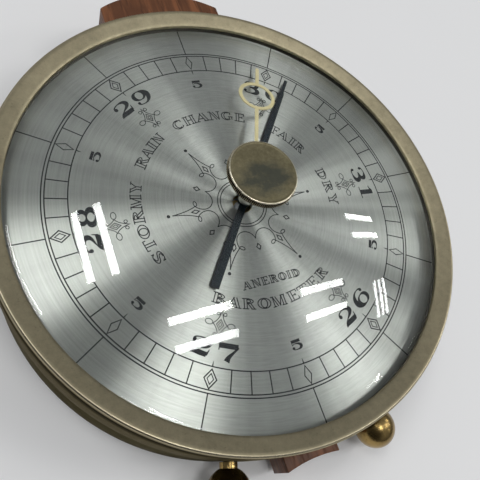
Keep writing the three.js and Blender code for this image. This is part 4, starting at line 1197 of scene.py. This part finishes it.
class BAROMETER_OT_pointer(bpy.types.Operator):
    """Builds the black pointer with its stepped blade, counterweight tail and hub"""

    bl_idname = "barometer.pointer"
    bl_label = "Pointer"

    def execute(self, context):
        low = POINTER_LOW
        outline = POINTER_HALF + [(-x, y) for x, y in POINTER_HALF[::-1]]
        blade = object_from("pointer_hand", slab(outline, low, low + POINTER_THICK))
        bevelled(blade, 0.12, 2)
        hub = rounded([
            (1.1, low - 0.8, 0.1), (2.2, low - 0.8, 0.2), (2.2, low + 1.5, 0.3), (1.1, low + 1.5, 0.1),
        ], 4)
        combined(blade, [cylinder(1.6, low - 3, low + 3)])
        combined(blade, [turned(hub, 64)], "UNION")
        points = np.empty(len(blade.data.vertices) * 3)
        blade.data.vertices.foreach_get("co", points)
        turn = np.array(Euler((0, 0, -math.radians(POINTER_ANGLE))).to_matrix())
        blade.data.vertices.foreach_set("co", (points.reshape(-1, 3) @ turn.T).ravel())
        blade.data.update()
        finished(blade, FINISHES["pointer"], "pointer_arbor", ["pointer"])
        return {"FINISHED"}


class BAROMETER_OT_set_hand(bpy.types.Operator):
    """Builds the brass set hand, which slopes down from the axis to its ring and tip"""

    bl_idname = "barometer.set_hand"
    bl_label = "Set hand"

    def execute(self, context):
        slope, thick, centre = 9.0, 0.35, 41.2
        scale = 1 / math.cos(math.radians(slope))
        ring_at, tip, ring_r, half = 37.7 * scale, 51.8 * scale, 5.725, 0.62

        def laid(shape):
            return moved(moved(shape, (-slope, 0, 0), (0, 0, centre)), (0, 0, -SET_ANGLE))

        section = washer(ring_r - half, ring_r + half, -thick / 2, thick / 2, 0.12)
        loop_ring = moved(turned(section, 96), at=(0, ring_at, 0))
        inside, outside, point = ring_at - ring_r, ring_at + ring_r, 0.35
        strips = [
            [(-half, 2.2), (half, 2.2), (half, inside), (-half, inside)],
            [(-half, outside), (half, outside), (half, tip - 0.4), (point, tip), (-point, tip), (-half, tip - 0.4)],
        ]
        hand = object_from("set_hand_fine", laid(loop_ring))
        for strip in strips:
            arm = object_from("arm", laid(slab(strip, -thick / 2, thick / 2)))
            bevelled(arm, 0.1, 2)
            change = hand.modifiers.new("arm", "BOOLEAN")
            change.operation, change.solver, change.object = "UNION", "EXACT", arm
            settle(hand)
            bpy.data.objects.remove(arm)
        hub = rounded([(1.7, 40.3, 0.1), (2.8, 40.3, 0.2), (2.8, 41.55, 0.2), (1.7, 41.55, 0.1)], 4)
        combined(hand, [turned(hub, 64)], "UNION")
        finished(hand, FINISHES["pale_brass"], "setter", ["set_hand"])
        return {"FINISHED"}


class BAROMETER_OT_knob(bpy.types.Operator):
    """Builds the milled set knob with its stem, washer and the bushing in the crystal"""

    bl_idname = "barometer.knob"
    bl_label = "Set knob"

    def execute(self, context):
        low, high, r = KNOB_LOW, KNOB_TOP, KNOB_R
        profile = rounded([
            (0, low + 1.7, 0), (1.7, low + 1.7, 0.05), (1.7, low, 0.1), (r - 1.6, low, 0.3),
            (r - 0.35, low + 0.45, 0.2), (r, low + 0.8, 0.15), (r, high - 0.62, 0.1), (r - 0.14, high - 0.42, 0.1),
            (r - 0.30, high - 0.12, 0.14), (r - 0.7, high, 0.25), (r - 1.15, high - 0.12, 0.2),
            (r * 0.5, high - 0.06, 1.0), (0, high - 0.04, 0),
        ], 5)
        heights, radii = profile[:, 1], profile[:, 0]
        milled = (heights > low + 0.55) & (heights < high - 0.4) & (radii > r - 0.5)
        depth = np.where(milled, sizes().knob_tooth_depth, 0.0)
        teeth = sizes().knob_teeth
        fine("set_knob", turned(profile, teeth * 4, teeth, depth), "knob", "knob_metal", "setter", 40)

        bottom, top = low_of("set_stem"), top_of("set_stem")
        pin = rounded([(0, bottom, 0), (1.5, bottom, 0.12), (1.5, top, 0.12), (0, top, 0)], 4)
        fine("set_stem", turned(pin, 64), "nickel", "brass", "setter")
        bottom, top = low_of("stem_washer"), top_of("stem_washer")
        fine("stem_washer", turned(washer(1.7, 2.8, bottom, top, 0.08), 64), "nickel", "brass", "setter")
        bottom, top = low_of("stem_bushing"), top_of("stem_bushing")
        flange = top - 1.3
        bush = rounded([
            (1.7, bottom, 0.05), (2.8, bottom, 0.1), (2.8, flange, 0.05), (3.4, flange, 0.1),
            (3.4, top - 0.5, 0.1), (3.1, top - 0.35, 0.1), (3.1, top, 0.12), (1.7, top, 0.1),
        ], 4)
        fine("stem_bushing", turned(bush, 64), "nickel", "knob_metal")
        return {"FINISHED"}


# ---------------------------------------------------------------- wood, balls and the back


class BAROMETER_OT_blocks(bpy.types.Operator):
    """Builds the wooden blocks above and below the case"""

    bl_idname = "barometer.blocks"
    bl_label = "Wooden blocks"

    def execute(self, context):
        half, shoulder, arch, seat = 22.2, 84.4, 40.6, SKIRT_R + 0.3
        centre = shoulder - math.sqrt(arch**2 - half**2)
        spread = math.degrees(math.asin(half / arch))
        inner = math.degrees(math.asin(half / seat))
        outline = np.vstack([
            circle_arc(arch, 90 - spread, 90 + spread, 49, (0, centre)),
            circle_arc(seat, 90 + inner, 90 - inner, 49),
        ])
        low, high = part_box("upper_wood_block")
        upper = object_from("upper_wood_block_fine", slab(outline, low.z / MM, high.z / MM))
        bevelled(upper, sizes().block_edge, 4, 50)
        finished(upper, FINISHES["wood"], "case", ["upper_wood_block"], 40)

        half, seat, hollow = 9.0, CASE_R + 0.3, 46.7
        inner = math.degrees(math.asin(half / seat))
        middle = -SKIRT_R - 3.6 - hollow
        reach = math.degrees(math.asin(half / hollow))
        outline = np.vstack([
            circle_arc(seat, 270 - inner, 270 + inner, 33),
            circle_arc(hollow, 90 - reach, 90 + reach, 33, (0, middle)),
        ])
        low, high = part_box("lower_wood_block")
        lower = object_from("lower_wood_block_fine", slab(outline, low.z / MM, high.z / MM))
        bevelled(lower, sizes().block_edge * 0.6, 3, 50)
        finished(lower, FINISHES["wood"], "case", ["lower_wood_block"], 40)
        return {"FINISHED"}


class BAROMETER_OT_balls(bpy.types.Operator):
    """Builds the two brass balls below the case"""

    bl_idname = "barometer.balls"
    bl_label = "Brass balls"

    def execute(self, context):
        ball, neck, gap = 6.35, 2.6, 1.2
        start = -math.degrees(math.acos(neck / ball))
        sphere = circle_arc(ball, start, 90, 40)
        sphere[-1, 0] = 0.0
        foot = -ball - gap
        seat = [(0, -1.0), (1.7, -1.0), (1.7, foot), (neck - 0.15, foot), (neck, foot + 0.15)]
        profile = np.vstack([seat, [(neck, sphere[0, 1] - 0.2)], sphere])
        for side, label in ((1, "left"), (-1, "right")):
            direction = outwards(180 + side * BALL_ANGLE)
            at = direction * (CASE_R + 1.5 + ball) + [0, 0, BALL_Z]
            fine(f"brass_ball_{label}", facing(turned(profile, 96), direction, at), "ball", "ball_brass")
        return {"FINISHED"}


class BAROMETER_OT_back(bpy.types.Operator):
    """Builds what shows on the back: the hanger plate, its rivets, and the slotted screws"""

    bl_idname = "barometer.back"
    bl_label = "Back fittings"

    def execute(self, context):
        low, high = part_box("hanger_plate")
        z0, z1 = low.z / MM, high.z / MM
        corners = (low.x / MM, high.x / MM, low.y / MM, high.y / MM)
        plate = object_from("hanger_plate_fine", box(*corners, z0, z1))
        x, y = KEYHOLE
        spread = math.degrees(math.asin(SLOT_HALF / KEYHOLE_R))
        keyhole = np.vstack([
            circle_arc(KEYHOLE_R, 90 + spread, 450 - spread, 57, (x, y)),
            circle_arc(SLOT_HALF, 0, 180, 25, (x, y + SLOT_RISE)),
        ])
        combined(plate, [slab(keyhole, z0 - 1, z1 + 1)] + [cylinder(1.4, z0 - 1, z1 + 1, at, 32) for at in RIVETS])
        bevelled(plate, 0.15, 2, 50)
        finished(plate, FINISHES["steel"], "case", ["hanger_plate"])
        for label, at in zip(("left", "right"), RIVETS):
            profile = rounded([(0, 0.05, 0), (1.2, 0.05, 0.25), (1.2, z1 + 0.3, 0.05), (2.1, z1 + 0.3, 0.1),
                               (1.6, z1 + 1.1, 0.3), (0, z1 + 1.3, 0)], 4)
            fine(f"hanger_rivet_{label}", moved(turned(profile, 40), at=(*at, 0)), "steel", "steel")
        top = top_of("base_plate")
        for index, at in enumerate(BASE_SCREWS):
            profile = rounded([
                (0, 0.05, 0), (3.4, 0.05, 0.12), (1.5, CASE_FLOOR, 0.1), (1.5, top, 0.1), (0, top, 0),
            ], 4)
            screw = object_from(f"movement_screw_{index + 1}_fine", moved(turned(profile, 56), at=(*at, 0)))
            combined(screw, [moved(box(-4.4, 4.4, -0.4, 0.4, -1, 0.7), (0, 0, 25 * index), (*at, 0))])
            finished(screw, FINISHES["steel"], "case", [f"movement_screw_{index + 1}"])
        profile = rounded([
            (0, 0.4, 0), (3.0, 0.4, 0.15), (3.0, 1.4, 0.1), (1.5, 1.4, 0.1), (1.5, top, 0.1), (0, top, 0),
        ], 4)
        adjuster = object_from("adjusting_screw_fine", moved(turned(profile, 56), at=(*ADJUSTER, 0)))
        combined(adjuster, [moved(box(-4, 4, -0.4, 0.4, -1, 0.9), at=(*ADJUSTER, 0))])
        finished(adjuster, FINISHES["brass"], "adjuster", ["adjusting_screw"])
        return {"FINISHED"}


SLOT_FINISHES = {
    "brass": "brass", "steel": "steel", "spring_steel": "blued", "wood": "wood", "case_metal": "case",
    "bezel_metal": "bezel", "crystal": "glass", "gasket": "fibre", "dial_silver": "dial",
    "pointer_black": "pointer", "pale_brass": "pale_brass", "knob_metal": "knob", "ball_brass": "ball",
}


class BAROMETER_OT_movement(bpy.types.Operator):
    """Gives the movement's CAD nodes, which stay as they are, their finishes"""

    bl_idname = "barometer.movement"
    bl_label = "Movement finishes"

    def execute(self, context):
        slots = {row["node"]: row["material_slot"] for row in frame["record"]["subparts"]}
        for name, node in frame["nodes"].items():
            node.data.materials.clear()
            node.data.materials.append(FINISHES[SLOT_FINISHES[slots[name]]])
        return {"FINISHED"}


# ---------------------------------------------------------------- stage

FLOOR_HALF = 2000.0  # half the floor's width, in millimetres
CEILING = 2.0  # height of the lamps, in metres
TUBE = 0.078  # width of one tube's light
TUBE_GLOW = 28.0  # brightness of a tube
ROOM_GLOW = (0.06, 0.46)  # at the horizon and overhead
NEAR_SIDE = (-0.62, -0.50, 0.60)  # direction of the dim side
CAMERA_AT = (-0.06913, -0.05702, 0.16013)
CAMERA_TURN = (25.259, -18.545, -20.624)
FIXTURES = [  # name, middle x and y, turn in degrees, length, spacing and number of its tubes
    ("front", (0.06, -0.42), 0, 0.62, 0.27, 2),
    ("right", (1.56, -0.49), 0, 0.75, 0.28, 2),
    ("far_right", (2.98, 0.35), 0, 0.93, 0.27, 2),
    ("far_corner", (2.97, -0.72), 90, 0.52, 0.18, 3),
    ("last", (2.70, -2.05), 54, 0.38, 0.13, 2),
    ("left", (-0.71, 0.69), 90, 0.81, 0.25, 2),
]


def room_light():
    """A pale room: brightest overhead, dimmer towards the horizon, and dim on the near side, where
    someone leans over the table."""
    world = bpy.data.worlds.new("room")
    world.use_nodes = True
    tree = world.node_tree
    way = add(tree, "ShaderNodeTexCoord").outputs["Generated"]
    up = add(tree, "ShaderNodeSeparateXYZ", {0: way}).outputs["Z"]
    near = add(tree, "ShaderNodeVectorMath", {0: way, 1: NEAR_SIDE}, operation="DOT_PRODUCT").outputs["Value"]
    glow = span(tree, up, 0.0, 0.9, *ROOM_GLOW)
    glow = times(tree, glow, span(tree, near, 0.60, 0.90, 1.0, 0.15))
    shade = tree.nodes["Background"]
    shade.inputs["Color"].default_value = (0.95, 0.97, 1.0, 1)
    tree.links.new(glow, shade.inputs["Strength"])
    return world


class BAROMETER_OT_stage(bpy.types.Operator):
    """Lays the pale floor and sets the lamps and the camera"""

    bl_idname = "barometer.stage"
    bl_label = "Stage"

    def execute(self, context):
        floor = object_from("floor", box(-FLOOR_HALF, FLOOR_HALF, -FLOOR_HALF, FLOOR_HALF, -1.05, -0.05))
        material, tree, shader = new_finish("pale_floor", Roughness=0.7, Specular_IOR_Level=0.2)
        cloud = use(tree, "mottle", Scale=3.0, Softness=0.2)["Patches"]
        pale = colour_of("floor")
        feed(tree, shader, Base_Color=blend_colour(tree, cloud, shade(pale, 0.985), pale))
        floor.data.materials.append(material)
        for name, middle, turn, length, spacing, count in FIXTURES:
            a = math.radians(turn)
            for index in range(count):
                shift = (index - (count - 1) / 2) * spacing
                lamp = bpy.data.lights.new(name, "AREA")
                lamp.shape, lamp.size, lamp.size_y = "RECTANGLE", length, TUBE
                lamp.energy = TUBE_GLOW * math.pi * length * TUBE
                stand = bpy.data.objects.new(f"{name}_{index}", lamp)
                stand.location = (middle[0] - shift * math.sin(a), middle[1] + shift * math.cos(a), CEILING)
                stand.rotation_euler = (0, 0, a)
                context.scene.collection.objects.link(stand)
        context.scene.world = room_light()
        camera = bpy.data.cameras.new("camera")
        camera.sensor_width, camera.lens = 36.0, 38.375
        camera.clip_start, camera.clip_end = 0.005, 10.0
        stand = bpy.data.objects.new("camera", camera)
        stand.location = CAMERA_AT
        stand.rotation_euler = [math.radians(a) for a in CAMERA_TURN]
        context.scene.collection.objects.link(stand)
        context.scene.camera = stand
        context.scene.view_settings.view_transform = "Standard"
        return {"FINISHED"}


# ---------------------------------------------------------------- panel and registration

OPERATORS = [
    BAROMETER_OT_case, BAROMETER_OT_bezel, BAROMETER_OT_crystal, BAROMETER_OT_dial, BAROMETER_OT_scale,
    BAROMETER_OT_numerals, BAROMETER_OT_words, BAROMETER_OT_ornament, BAROMETER_OT_pointer,
    BAROMETER_OT_set_hand, BAROMETER_OT_knob, BAROMETER_OT_blocks, BAROMETER_OT_balls, BAROMETER_OT_back,
    BAROMETER_OT_movement, BAROMETER_OT_stage,
]


class BAROMETER_PT_panel(bpy.types.Panel):
    """Lists the barometer's sizes, colours and pieces"""

    bl_label = "Barometer"
    bl_idname = "BAROMETER_PT_panel"
    bl_space_type = "VIEW_3D"
    bl_region_type = "UI"
    bl_category = "Barometer"

    def draw(self, context):
        for group in (context.scene.barometer_sizes, context.scene.barometer_colours):
            column = self.layout.column()
            for name in group.__annotations__:
                column.prop(group, name)
        for operator in OPERATORS:
            self.layout.operator(operator.bl_idname)


CLASSES = [BarometerSizes, BarometerColours, *OPERATORS, BAROMETER_PT_panel]


def register():
    """Registers the classes and puts the sizes and colours on the scene."""
    for item in CLASSES:
        bpy.utils.register_class(item)
    bpy.types.Scene.barometer_sizes = bpy.props.PointerProperty(type=BarometerSizes)
    bpy.types.Scene.barometer_colours = bpy.props.PointerProperty(type=BarometerColours)


def unregister():
    """Undoes register."""
    del bpy.types.Scene.barometer_sizes, bpy.types.Scene.barometer_colours
    for item in reversed(CLASSES):
        bpy.utils.unregister_class(item)


def main():
    """Builds everything in order."""
    register()
    make_effects()
    make_finishes()
    for operator in OPERATORS:
        getattr(bpy.ops.barometer, operator.bl_idname.split(".")[1])()
    bpy.context.view_layer.update()


if __name__ == "__main__":
    main()
